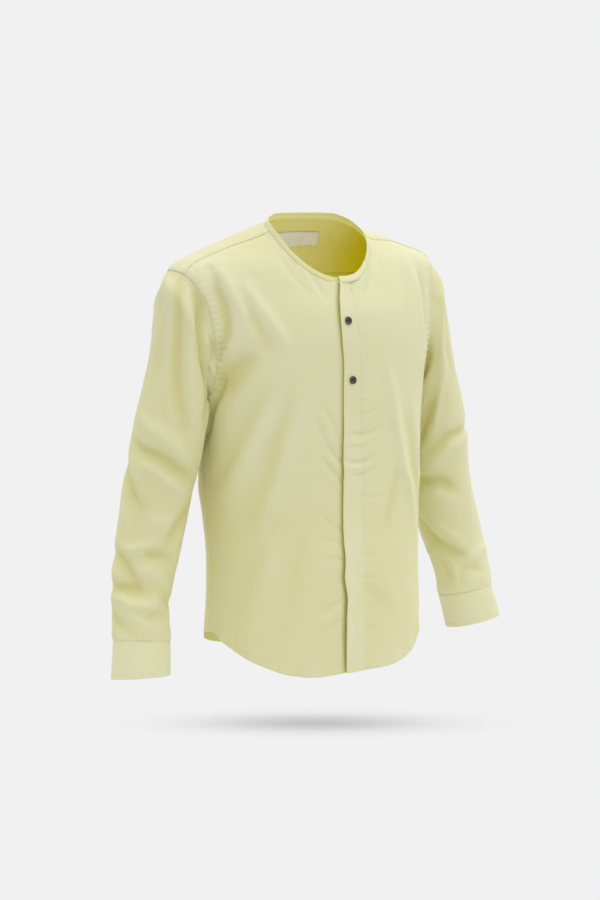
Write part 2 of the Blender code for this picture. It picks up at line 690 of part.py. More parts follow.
g = bordered(front_panel(-1, STAND_EDGE_X), ("right", "top"))
cloth_piece("front_right", trim_edges(body_point(g[..., 0], g[..., 1]), HALF), np.array([0, 0.02, -.4]))
g = bordered(front_panel(1, LEFT_FRONT_X), ("right", "top"))
cloth_piece("front_left", trim_edges(body_point(g[..., 0], g[..., 1]), HALF), np.array([0, 0.02, -.4]))
g = bordered(back_panel(), ("left", "right", "top"))
cloth_piece("back", trim_edges(body_point(g[..., 0], g[..., 1]), HALF), np.array([0, 0.02, -.4]))
g = bordered(yoke_panel(), ("top", "bottom", "right"))
cloth_piece("yoke", trim_edges(body_point(g[..., 0], g[..., 1]), HALF), np.array([0, 0.02, -.4]))

cloth_piece("sleeve_right", sleeve(-1, SLEEVE_FOLDS_RIGHT), np.array([-.26, .025, -.36]), closed=True)
cloth_piece("sleeve_left", sleeve(1, SLEEVE_FOLDS_LEFT), np.array([.26, .025, -.36]), closed=True)
cloth_piece("cuff_right", cuff(-1), np.array([-.324, -.0035, -.67]), thick=.0014)
cloth_piece("cuff_left", cuff(1), np.array([.324, -.0035, -.67]), thick=.0014)

band_rows = band_grid()
cloth_piece("neck_band", band_rows, np.array([0, NECK_CENTRE_Y, band_rows[1, band_rows.shape[1] // 2, 2]]))

# placket: the fronts' own points along the centre, moved out
top_depth = float(neck_seam(np.array([math.asin(.016 / NECK_HALF_WIDTH)]))[1][0])
xs = np.linspace(PLACKET_RIGHT_X, PLACKET_LEFT_X, 4)
rows = []
depth_rows = spaced(np.stack([phi_at_x(0.001, np.linspace(top_depth, .7170, 200)),
                              np.linspace(top_depth, .7170, 200)], -1), 20)[:, 1]
for i, d in enumerate(depth_rows):
    row = []
    for x in xs:
        # follow the neck seam at the top and the hem at the bottom
        seam = float(neck_seam(np.array([abs(math.asin(x / NECK_HALF_WIDTH))]))[1][0]) + .0006
        end = float(hem_depth(phi_at_x(x, .717)))
        k = (d - top_depth) / (.7170 - top_depth)
        dd = seam + (end - seam) * k
        row.append((float(phi_at_x(x, dd)), dd))
    rows.append(row)
g = np.array(rows)
cloth_piece("placket", body_point(g[..., 0], g[..., 1], PLACKET_LIFT), np.array([0, 0.02, -.4]), rgb=CLOTH)

# label: points of the yoke's back moved in, hanging just clear of it
ds = np.linspace(LABEL_TOP, LABEL_BOTTOM, 3)
lx = np.linspace(LABEL_CENTRE_X - LABEL_HALF_WIDTH, LABEL_CENTRE_X + LABEL_HALF_WIDTH, 7)
rows = []
for d in ds:
    a, yf, ys, yb, nf, nb = section(np.array(d))
    ph = math.pi - np.sign(lx) * np.arcsin((np.abs(lx) / a) ** (nb / 2))
    p = body_point(ph, np.full(len(lx), d))
    nrm = body_normal(ph, np.full(len(lx), d))
    rows.append(p - nrm * (WALL + .0012))
g = np.array(rows)
lab = cloth_piece("neck_label", g, g[1, 3] + np.array([0, .05, 0]), thick=.0010, rgb=LABEL_COLOUR)


# buttons: turned discs with a raised rim
def button(name, centre, axis, diameter, thick):
    r = diameter / 2
    profile = [(0.0, thick * .65), (r * .62, thick * .65), (r * .76, thick), (r * .92, thick),
               (r, thick * .55), (r * .88, 0.0), (0.0, 0.0)]
    me = bpy.data.meshes.new(name)
    me.from_pydata([(x, 0, z) for x, z in profile], [(i, i + 1) for i in range(len(profile) - 1)], [])
    ob = bpy.data.objects.new(name, me)
    home.objects.link(ob)
    sc = ob.modifiers.new("turn", "SCREW")
    sc.angle = math.tau
    sc.steps = sc.render_steps = 16
    sc.axis = "Z"
    sc.use_merge_vertices = True
    sc.merge_threshold = 0.00001
    sc.use_normal_calculate = True
    me.materials.append(material(name, BUTTON_COLOUR, 0.35))
    z = unit(np.asarray(axis, float))
    x = unit(np.cross([0, 1, 0] if abs(z[1]) < .9 else [1, 0, 0], z))
    y = np.cross(z, x)
    import mathutils
    ob.matrix_world = mathutils.Matrix(((x[0], y[0], z[0], centre[0]), (x[1], y[1], z[1], centre[1]),
                                        (x[2], y[2], z[2], centre[2]), (0, 0, 0, 1)))
    return ob


for i, d in enumerate(BUTTON_DEPTHS):
    ph = phi_at_x(0.0012, np.array(d))
    p = body_point(ph, np.array(d), PLACKET_LIFT + .0006)
    button("button_%d" % (i + 1), p, body_normal(ph, np.array(d)), BUTTON_DIAMETER, BUTTON_THICK)

for side, name in ((-1, "cuff_button_right"), (1, "cuff_button_left")):
    a = math.radians(CUFF_START + CUFF_LAP / 2)
    p = arm_ring(CUFF[1], np.array([a]), .0019 + .0007)[0]
    q = arm_ring(CUFF[1], np.array([a]), .02)[0]
    t = (arm_ring(CUFF[1], np.array([a + .05]), .0019)[0] - arm_ring(CUFF[1], np.array([a - .05]), .0019)[0])
    down, _, _ = arm_frame(CUFF[1][3], CUFF[1][4])
    nrm = np.cross(t, down)
    if np.dot(nrm, q - p) < 0:
        nrm = -nrm
    nrm = unit(nrm)
    m = np.array([side, 1, 1])
    button(name, p * m, nrm * m, CUFF_BUTTON_DIAMETER, .0022)
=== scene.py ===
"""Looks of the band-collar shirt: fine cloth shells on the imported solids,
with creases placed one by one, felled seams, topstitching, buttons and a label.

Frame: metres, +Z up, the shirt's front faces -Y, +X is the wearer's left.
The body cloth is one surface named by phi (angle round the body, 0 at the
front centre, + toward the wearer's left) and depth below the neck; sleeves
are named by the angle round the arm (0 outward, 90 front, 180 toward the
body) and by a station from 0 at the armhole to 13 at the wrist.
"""
import math

import bpy
import numpy as np
from mathutils import Matrix, Vector
from mathutils.bvhtree import BVHTree


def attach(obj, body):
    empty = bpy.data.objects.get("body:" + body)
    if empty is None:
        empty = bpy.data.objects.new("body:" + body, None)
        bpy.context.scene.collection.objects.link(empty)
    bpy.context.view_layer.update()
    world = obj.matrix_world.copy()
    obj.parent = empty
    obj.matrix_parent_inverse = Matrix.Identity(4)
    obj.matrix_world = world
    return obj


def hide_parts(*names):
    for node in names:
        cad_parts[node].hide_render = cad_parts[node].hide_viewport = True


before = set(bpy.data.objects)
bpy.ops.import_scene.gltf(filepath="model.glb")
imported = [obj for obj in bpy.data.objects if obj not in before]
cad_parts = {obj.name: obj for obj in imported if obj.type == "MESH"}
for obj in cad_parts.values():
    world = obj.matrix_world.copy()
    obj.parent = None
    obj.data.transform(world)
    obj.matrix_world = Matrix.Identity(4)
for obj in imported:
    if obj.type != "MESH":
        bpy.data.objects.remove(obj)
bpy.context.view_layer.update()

scene = bpy.context.scene

# ------------------------------------------------------------------ sizes (m)
CLOTH = 0.0007                 # one layer of the shirting with its face
SEAM_GAP = 0.0003
NECK_HALF_WIDTH = 0.0912
NECK_HALF_DEPTH = 0.0615
NECK_CENTRE_Y = -0.0195
BAND_HEIGHT = 0.0100
STAND_EDGE_X = 0.0138          # edge of the right front, under the placket
LEFT_FRONT_X = 0.0150
PLACKET_LIFT = 0.0019
BUTTON_DIAMETER = 0.0128
BUTTON_THICK = 0.0026
BUTTON_DEPTHS = (0.1574, 0.2496)
CUFF_BUTTON_DIAMETER = 0.0105
YOKE_BACK_DEPTH = 0.105
LABEL_HALF_WIDTH = 0.0450
LABEL_CENTRE_X = 0.0060
LABEL_TOP, LABEL_BOTTOM = 0.0270, 0.0500
FELL_WIDTH = 0.0105            # felled armhole seam
HEM_WIDTH = 0.0062
STITCH_PITCH, STITCH_LENGTH, STITCH_RADIUS = 0.0031, 0.0024, 0.00026
FLOOR_Z = -0.835

TORSO_COLS = ("depth", "half_width", "y_front", "y_side", "y_back", "n_front", "n_back")
TORSO = (
    (-.010, .046, -.000, .022, .028, 2.00, 2.00),
    (.000, .060, -.010, .024, .036, 2.00, 2.00),
    (.006, .080, -.018, .026, .043, 2.00, 2.00),
    (.012, .098, -.025, .027, .050, 2.00, 2.00),
    (.020, .121, -.034, .028, .058, 2.00, 2.00),
    (.036, .160, -.047, .031, .070, 2.00, 2.00),
    (.052, .199, -.056, .033, .080, 2.00, 2.00),
    (.066, .225, -.064, .034, .088, 2.05, 2.10),
    (.082, .236, -.073, .034, .095, 2.10, 2.20),
    (.105, .239, -.084, .032, .103, 2.15, 2.30),
    (.150, .232, -.103, .026, .112, 2.20, 2.40),
    (.200, .220, -.112, .018, .116, 2.30, 2.40),
    (.275, .203, -.116, .008, .114, 2.35, 2.40),
    (.350, .196, -.117, .003, .112, 2.35, 2.40),
    (.420, .196, -.117, .001, .112, 2.30, 2.40),
    (.470, .193, -.117, .000, .107, 2.30, 2.30),
    (.540, .1915, -.1205, .000, .095, 2.30, 2.15),
    (.650, .1935, -.1235, .000, .096, 2.30, 2.15),
    (.780, .1965, -.1255, .000, .101, 2.30, 2.15),
)
ARMHOLE_COLS = ("t", "depth", "front_deg", "back_deg")
ARMHOLE = (
    (0.00, .0785, 0.0, 0.0),
    (0.08, .0815, 12.0, 12.0),
    (0.20, .1000, 22.5, 22.0),
    (0.35, .1300, 27.0, 25.0),
    (0.50, .1650, 26.5, 25.0),
    (0.65, .2050, 22.8, 23.0),
    (0.80, .2410, 17.8, 18.0),
    (0.92, .2620, 11.5, 10.5),
    (1.00, .2690, 0.0, 0.0),
)
FRONT_YOKE = ((38.5, .0225), (50.0, .0300), (62.0, .0380), (70.0, .0545), (74.7, .0758))
HEM = ((-10, .7188), (0, .7184), (15, .7192), (30, .7138), (45, .7002), (60, .6848),
       (75, .6672), (90, .6520), (100, .6560), (112, .6690), (122, .6790), (132, .6868), (150, .6990), (170, .7130),
       (180, .7150), (190, .7150))
SIDE_PHI = (90.0, 92.5)
SLEEVE_COLS = ("x", "y", "depth", "tilt_out", "tilt_fwd", "half_width", "half_thick", "n")
SLEEVE = (
    (.2315, .0200, .1925, 74.0, 0.0, .0980, .0600, 2.00),
    (.2325, .0200, .2100, 69.0, 0.0, .0860, .0600, 2.00),
    (.2340, .0200, .2385, 57.0, 0.0, .0685, .0615, 2.00),
    (.2405, .0210, .2725, 42.0, 1.0, .0575, .0630, 2.00),
    (.2500, .0220, .3125, 24.0, 2.0, .0548, .0630, 2.00),
    (.2590, .0230, .3575, 13.0, 2.0, .0563, .0610, 2.00),
    (.2705, .0250, .4100, 11.0, 2.0, .0560, .0570, 2.00),
    (.2828, .0250, .4700, 12.0, 4.0, .0548, .0530, 2.00),
    (.2975, .0220, .5200, 13.0, 7.0, .0522, .0490, 2.00),
    (.3092, .0180, .5680, 12.0, 10.0, .0500, .0440, 2.00),
    (.3170, .0100, .6040, 11.0, 11.0, .0480, .0400, 2.00),
    (.3217, .0014, .6475, 5.5, 7.9, .0488, .0362, 2.15),
)
CUFF = (
    (.3216, .0014, .6477, 5.5, 7.9, .0492, .0366, 2.15),
    (.3263, -.0040, .6738, 6.0, 8.0, .0499, .0366, 2.20),
    (.3306, -.0088, .6997, 6.5, 8.2, .0506, .0363, 2.20),
)
# the right cuff sits lower on its arm and hangs straighter
SLEEVE_END_RIGHT = (.3190, .0008, .6503, 7.0, 10.0, .0462, .0352, 2.15)
CUFF_RIGHT = (
    (.3189, .0008, .6505, 7.0, 10.0, .0466, .0356, 2.15),
    (.3232, -.0042, .6775, 5.5, 10.0, .0474, .0360, 2.20),
    (.3272, -.0088, .7036, 3.5, 10.0, .0484, .0362, 2.20),
)
CUFF_START, CUFF_LAP = 275.0, 32.0

# free edge of the placket: depth, X, how far it stands off the front below
PLACKET_COLS = ("depth", "x", "stand_off")
PLACKET = (
    (.080, -.0010, .0022),
    (.101, -.0025, .0030),
    (.126, -.0112, .0040),
    (.156, -.0163, .0034),
    (.186, -.0168, .0026),
    (.217, -.0154, .0024),
    (.280, -.0174, .0022),
    (.330, -.0178, .0024),
    (.359, -.0187, .0030),
    (.400, -.0180, .0034),
    (.438, -.0186, .0026),
    (.503, -.0183, .0030),
    (.535, -.0166, .0034),
    (.564, -.0184, .0040),
    (.596, -.0140, .0050),
    (.636, -.0156, .0052),
    (.665, -.0164, .0048),
    (.720, -.0159, .0036),
)
PLACKET_SEWN = ((.080, .0175), (.172, .0185), (.219, .0188), (.282, .0180), (.346, .0189),
                (.475, .0197), (.605, .0213), (.720, .0212))

# creases of the body.  Each: half width, height (minus is a trough), lean
# (+ is steeper on the side to the right of its run), and its points:
# phi (deg), depth (m), share of the height there
BODY_STROKES = (
    # right front, beside the armhole
    (.0085, -.0056, .2, ((-58, .078, .4), (-55, .095, .8), (-54, .110, 1), (-53, .127, 1), (-54, .143, 1), (-55, .158, 1), (-57, .173, 1), (-61, .190, .9), (-65, .208, .6))),
    (.0100, .0032, 0, ((-52, .080, .3), (-49, .095, .8), (-47, .113, 1), (-45.5, .128, 1), (-45, .141, .8), (-46, .155, .3))),
    (.0085, -.0022, 0, ((-43.5, .113, .2), (-42.5, .128, .8), (-41.5, .143, 1), (-39.5, .158, 1), (-38, .173, 1), (-37, .190, .8), (-36.5, .205, .3))),
    (.0110, .0026, 0, ((-43, .085, .2), (-40, .103, .8), (-38, .118, 1), (-36, .133, 1), (-34, .148, 1), (-32, .163, 1), (-30, .178, .9), (-28, .193, .3))),
    (.0035, -.0014, 0, ((-62, .075, .6), (-61.5, .088, 1), (-61, .103, .4))),
    (.0175, -.0060, 0, ((-44, .198, .2), (-50, .215, .8), (-57, .231, 1), (-64, .249, .9), (-71, .270, .3))),
    (.0065, -.0055, 0, ((-67, .235, .4), (-71, .253, 1), (-77, .275, 1), (-83, .300, 1), (-88, .328, .9), (-92, .350, .5))),
    # drawn from the neck band
    (.0055, -.0011, .3, ((-28, .048, .4), (-22, .070, 1), (-17, .094, .8), (-13, .113, .2))),
    (.0048, -.0012, .3, ((-20, .062, .5), (-16, .084, 1), (-12, .106, .8), (-9, .124, .2))),
    (.0045, -.0010, -.3, ((-13, .080, .5), (-10, .098, 1), (-7, .118, .8), (-4.5, .136, .2))),
    (.0050, .0009, 0, ((-17, .078, .3), (-12, .106, 1), (-8, .128, .3))),
    (.0045, -.0012, .3, ((17, .060, .4), (14.5, .082, 1), (10.5, .106, 1), (5.5, .130, .7), (2, .146, .2))),
    (.0050, .0009, 0, ((20, .072, .3), (15, .100, 1), (10, .124, .4))),
    (.0050, -.0008, 0, ((26, .052, .3), (22, .078, 1), (18, .104, .3))),
    # right front, long soft falls
    (.0150, -.0028, .2, ((-40, .246, .2), (-44, .272, .8), (-54, .312, 1), (-65, .353, 1), (-76, .388, .8), (-86, .418, .3))),
    (.0150, .0020, 0, ((-36, .262, .2), (-42, .302, .9), (-52, .345, 1), (-62, .388, .8), (-72, .424, .3))),
    (.0150, -.0026, .2, ((-28, .250, .2), (-31, .290, .8), (-36, .336, 1), (-42, .396, 1), (-51, .447, .8), (-61, .490, .3))),
    (.0160, .0016, 0, ((-23, .268, .2), (-28, .330, 1), (-34, .395, .9), (-43, .455, .5), (-52, .500, .2))),
    (.0180, -.0012, 0, ((-50, .470, .2), (-55, .530, .9), (-62, .590, 1), (-70, .640, .4))),
    (.0180, .0012, 0, ((-38, .480, .2), (-43, .545, 1), (-49, .610, .7), (-54, .660, .2))),
    (.0170, -.0010, 0, ((-22, .470, .2), (-27, .540, 1), (-33, .620, .7), (-37, .680, .2))),
    # short drags running into the placket's edge, right front
    (.0045, -.0013, .3, ((-17, .268, .2), (-12, .292, .8), (-7.5, .318, 1), (-5, .338, .6))),
    (.0050, -.0018, .3, ((-17, .302, .2), (-13, .330, .9), (-8.5, .358, 1), (-5, .374, .7))),
    (.0045, .0009, 0, ((-19, .330, .2), (-14, .356, 1), (-9, .378, .8), (-6, .388, .3))),
    (.0048, -.0016, .3, ((-16, .340, .2), (-12, .368, .9), (-8, .394, 1), (-5, .408, .6))),
    (.0040, -.0009, .2, ((-14, .398, .2), (-9, .418, 1), (-5, .430, .6))),
    (.0042, -.0012, .2, ((-15, .452, .2), (-10, .470, 1), (-5, .482, .7))),
    (.0042, -.0010, .2, ((-14, .490, .3), (-9, .500, 1), (-5, .508, .7))),
    (.0045, -.0012, .2, ((-15, .520, .2), (-10, .528, 1), (-5, .532, .7))),
    (.0045, -.0008, .2, ((-13, .560, .2), (-9, .563, 1), (-5, .562, .6))),
    (.0050, -.0012, -.2, ((-18, .618, .2), (-12, .611, .9), (-5, .598, .8))),
    (.0050, .0010, 0, ((-20, .636, .2), (-13, .627, 1), (-6, .616, .7))),
    (.0045, -.0010, -.2, ((-17, .652, .2), (-11, .643, 1), (-5, .632, .7))),
    # placket and left front: wrinkles across the sewn edge
    (.0034, -.0010, 0, ((1, .303, .2), (4, .306, 1), (9, .304, .7), (14, .300, .1))),
    (.0036, -.0014, .2, ((-2, .332, .3), (3, .337, 1), (8, .335, .8), (15, .329, .1))),
    (.0036, .0010, 0, ((-3, .347, .4), (2, .350, 1), (6, .347, .4))),
    (.0038, -.0017, -.2, ((-3.5, .376, .5), (1, .380, 1), (6, .379, .8), (12, .372, .1))),
    (.0034, .0009, 0, ((-2, .388, .4), (3, .389, 1), (8, .386, .3))),
    (.0034, -.0012, .2, ((-2, .398, .3), (3, .400, 1), (9, .396, .7), (18, .390, .1))),
    (.0032, -.0008, 0, ((4, .424, .3), (9, .424, 1), (17, .418, .1))),
    (.0036, -.0010, 0, ((4, .436, .3), (10, .440, 1), (20, .434, .2))),
    (.0034, -.0007, 0, ((4, .470, .5), (8, .471, 1), (13, .468, .1))),
    (.0034, -.0007, 0, ((4, .498, .5), (8, .500, 1), (12, .500, .1))),
    (.0034, -.0008, 0, ((3, .532, .5), (7, .534, 1), (12, .530, .1))),
    (.0036, -.0009, 0, ((4, .566, .5), (8, .570, 1), (14, .575, .1))),
    (.0034, -.0008, 0, ((4, .612, .5), (8, .615, 1), (12, .620, .1))),
    (.0036, -.0008, 0, ((4, .648, .5), (8, .652, 1), (13, .658, .1))),
    (.0120, -.0014, 0, ((6, .582, .3), (10, .598, 1), (15, .618, .4))),
    (.0140, .0012, 0, ((14, .560, .2), (21, .600, 1), (27, .650, .3))),
    # left front
    (.0120, .0034, -.2, ((17, .232, .1), (20, .272, .7), (24, .330, 1), (32, .405, 1), (42, .470, .8), (52, .520, .2))),
    (.0110, -.0026, 0, ((27, .395, .1), (24, .425, .9), (20, .460, 1), (16, .500, .3))),
    (.0130, -.0022, .2, ((31, .290, .1), (37, .345, .9), (46, .410, 1), (57, .470, .5))),
    (.0110, .0016, 0, ((40, .300, .2), (48, .360, 1), (58, .420, .5))),
    (.0100, -.0032, -.25, ((52, .080, .3), (49, .110, 1), (50, .150, 1), (55, .190, .7), (60, .220, .2))),
    (.0110, .0022, 0, ((44, .080, .3), (42, .115, 1), (43, .150, .6), (45, .180, .2))),
    (.0100, -.0014, 0, ((36, .090, .2), (33, .130, 1), (30, .175, .6), (27, .210, .2))),
    (.0150, -.0018, 0, ((60, .240, .3), (52, .262, 1), (42, .285, .5))),
    # back: pulled toward the armholes, falling from the shoulder blades
    (.0110, -.0034, .25, ((128, .100, .3), (132, .130, 1), (130, .170, 1), (122, .215, .6), (116, .245, .2))),
    (.0120, .0024, 0, ((137, .105, .3), (140, .145, 1), (136, .190, .6), (130, .225, .2))),
    (.0110, -.0030, -.25, ((-127, .104, .3), (-131, .135, 1), (-130, .176, .9), (-122, .222, .6), (-114, .252, .2))),
    (.0120, .0022, 0, ((-136, .108, .3), (-140, .150, 1), (-137, .198, .6), (-129, .236, .2))),
    (.0140, -.0022, 0, ((150, .150, .2), (147, .200, .9), (140, .260, 1), (128, .320, .8), (114, .372, .3))),
    (.0150, .0020, 0, ((158, .180, .2), (155, .240, .9), (148, .305, 1), (136, .372, .7), (122, .430, .2))),
    (.0140, -.0020, 0, ((-152, .160, .2), (-148, .214, .9), (-139, .272, 1), (-127, .335, .8), (-112, .392, .3))),
    (.0160, .0018, 0, ((-160, .200, .2), (-157, .262, .9), (-149, .330, 1), (-137, .392, .7), (-124, .452, .2))),
    (.0160, -.0022, 0, ((168, .300, .2), (165, .370, .9), (158, .445, 1), (148, .520, .8), (139, .590, .3))),
    (.0170, .0020, 0, ((176, .320, .2), (174, .400, 1), (168, .480, .9), (160, .560, .5), (153, .625, .2))),
    (.0160, -.0020, 0, ((-170, .340, .2), (-167, .420, .9), (-160, .500, 1), (-150, .575, .6), (-143, .640, .2))),
    (.0170, .0018, 0, ((-159, .330, .2), (-154, .400, 1), (-146, .475, .8), (-136, .550, .3))),
    (.0120, -.0012, 0, ((172, .122, .8), (171, .170, 1), (172, .230, .4), (174, .270, .1))),
    (.0120, -.0012, 0, ((-172, .122, .8), (-171, .175, 1), (-173, .240, .4), (-175, .285, .1))),
    (.0130, .0011, 0, ((180, .125, .6), (179, .190, 1), (180, .260, .3))),
    # sides
    (.0130, -.0022, 0, ((98, .290, .3), (104, .330, 1), (116, .372, .7), (130, .405, .2))),
    (.0120, .0016, 0, ((96, .330, .3), (103, .372, 1), (113, .412, .3))),
    (.0130, -.0020, 0, ((-98, .296, .3), (-105, .340, 1), (-117, .380, .7), (-132, .412, .2))),
    (.0130, -.0014, 0, ((84, .300, .3), (76, .342, 1), (66, .385, .6), (58, .410, .2))),
    (.0160, .0013, 0, ((78, .470, .2), (84, .540, 1), (92, .610, .4))),
    (.0160, -.0013, 0, ((-100, .480, .2), (-106, .550, 1), (-112, .620, .4))),
)

# creases of the sleeves: half width, height, lean, points (angle, station, share)
SLEEVE_STROKES_RIGHT = (
    (.0070, .0036, 0, ((85, 1.29, .3), (101, 1.39, .9), (122, 1.14, 1), (135, .75, .8))),
    (.0075, -.0028, 0, ((143, .60, .4), (150, 1.40, .8), (142, 2.60, 1), (132, 3.90, 1), (127, 4.94, .6))),
    (.0072, -.0064, .1, ((36, .5, .4), (54, 1.1, .8), (71, 1.4, 1), (93, 1.75, 1), (105, 2.0, 1), (114, 2.8, 1), (117, 4.0, 1), (119, 5.0, .8), (120, 5.8, .3))),
    (.0060, .0022, 0, ((56, .7, .3), (76, .95, .9), (94, 1.2, 1), (108, 1.4, .8), (118, 1.5, .3))),
    (.0100, -.0042, 0, ((19, 1.4, .4), (30, 2.25, .9), (33, 3.2, 1), (38, 4.05, 1), (49, 4.9, 1), (63, 5.65, .8), (76, 6.25, .4))),
    (.0075, .0026, 0, ((28, 1.1, .3), (43, 1.6, .9), (58, 2.3, 1), (63, 3.3, 1), (69, 4.25, 1), (77, 5.2, .8), (86, 5.8, .4))),
    (.0110, .0016, 0, ((2, 1.6, .3), (14, 2.8, 1), (24, 4.0, .9), (32, 5.2, .4))),
    (.0100, -.0013, 0, ((350, 2.2, .3), (0, 3.4, 1), (9, 4.7, .7), (14, 5.7, .2))),
    (.0130, .0017, 0, ((322, 2.2, .3), (332, 3.6, 1), (341, 5.0, .7), (346, 6.0, .2))),
    (.0110, .0030, -.2, ((352, 6.15, .2), (18, 6.45, .9), (44, 6.60, 1), (74, 6.95, .7), (94, 7.15, .3))),
    (.0110, -.0056, .3, ((352, 6.85, .3), (12, 7.02, .9), (36, 7.10, 1), (66, 7.30, 1), (92, 7.48, .7), (112, 7.62, .3))),
    (.0085, .0022, 0, ((20, 7.45, .3), (48, 7.65, 1), (76, 7.85, .9), (100, 8.05, .4))),
    (.0115, -.0054, .2, ((318, 7.25, .3), (334, 7.62, .9), (357, 8.03, 1), (17, 8.40, .9), (37, 8.67, .3))),
    (.0080, .0018, 0, ((344, 8.55, .3), (2, 8.90, 1), (14, 9.20, .3))),
    (.0120, -.0042, 0, ((134, 8.34, .3), (120, 8.62, .9), (108, 8.92, 1), (101, 9.32, .9), (93, 9.69, .3))),
    (.0160, -.0062, 0, ((150, 5.9, .3), (158, 6.5, 1), (162, 7.0, .9), (166, 7.6, .3))),
    (.0100, .0018, 0, ((44, 8.85, .3), (72, 8.95, 1), (92, 9.05, .4))),
    (.0075, .0028, 0, ((16, 9.83, .3), (33, 9.90, .9), (49, 9.76, .8), (64, 9.63, .3))),
    (.0110, -.0048, .2, ((334, 9.98, .5), (3, 10.13, 1), (23, 10.38, 1), (40, 10.70, 1), (53, 10.96, .5))),
    (.0105, -.0044, 0, ((56, 10.12, .3), (69, 10.02, 1), (86, 10.00, 1), (106, 10.06, .6))),
    (.0080, .0024, 0, ((53, 10.51, .3), (69, 10.57, 1), (87, 10.70, 1), (114, 10.89, .5))),
    (.0105, -.0050, .2, ((341, 10.96, .6), (11, 11.11, 1), (37, 11.19, 1), (58, 11.15, .9), (74, 11.28, .3))),
    (.0080, .0034, -.2, ((5, 11.45, .3), (29, 11.70, .9), (50, 11.86, 1), (74, 11.86, 1), (95, 11.62, .6))),
    (.0095, -.0028, 0, ((110, 11.30, .3), (130, 11.50, 1), (150, 11.55, .8), (168, 11.50, .3))),
    (.0090, -.0042, 0, ((347, 11.90, .5), (3, 12.30, .9), (19, 12.54, 1), (40, 12.76, 1), (61, 12.90, .6))),
    (.0065, -.0026, 0, ((77, 12.30, .3), (90, 12.14, 1), (114, 12.05, .6))),
    (.0070, .0024, 0, ((40, 12.13, .3), (57, 12.30, .9), (74, 12.48, 1), (87, 12.62, .4))),
    (.0180, -.0020, 0, ((146, 7.6, .3), (147, 8.2, 1), (147, 9.0, 1), (146, 9.7, .3))),
    (.0200, -.0016, 0, ((326, 10.4, .3), (326, 11.2, .8), (326, 12.2, 1), (326, 12.9, 1))),
    # hidden side
    (.0100, -.0040, .2, ((196, 6.75, .3), (222, 7.0, .9), (252, 7.2, 1), (284, 7.3, .8), (304, 7.3, .2))),
    (.0100, .0024, 0, ((200, 7.35, .3), (230, 7.6, 1), (266, 7.75, .8), (292, 7.9, .2))),
    (.0090, -.0028, 0, ((206, 8.0, .3), (232, 8.2, 1), (262, 8.25, .6), (286, 8.2, .2))),
    (.0090, -.0026, 0, ((214, 9.6, .3), (240, 9.9, 1), (270, 10.1, .8), (296, 10.0, .2))),
    (.0085, .0018, 0, ((212, 10.4, .3), (244, 10.6, 1), (276, 10.7, .3))),
    (.0085, -.0026, 0, ((204, 11.2, .3), (236, 11.4, 1), (268, 11.3, .7), (300, 11.1, .3))),
    (.0100, -.0022, 0, ((296, 1.6, .3), (288, 2.6, 1), (280, 3.8, .8), (272, 5.0, .2))),
    (.0110, .0018, 0, ((310, 1.8, .3), (302, 3.0, 1), (296, 4.4, .7), (290, 5.6, .2))),
    (.0110, -.0020, 0, ((262, 2.4, .3), (252, 3.4, 1), (240, 4.4, .7), (228, 5.2, .2))),
    (.0100, -.0020, 0, ((150, 3.4, .3), (160, 4.4, 1), (172, 5.2, .6), (186, 5.8, .2))),
)
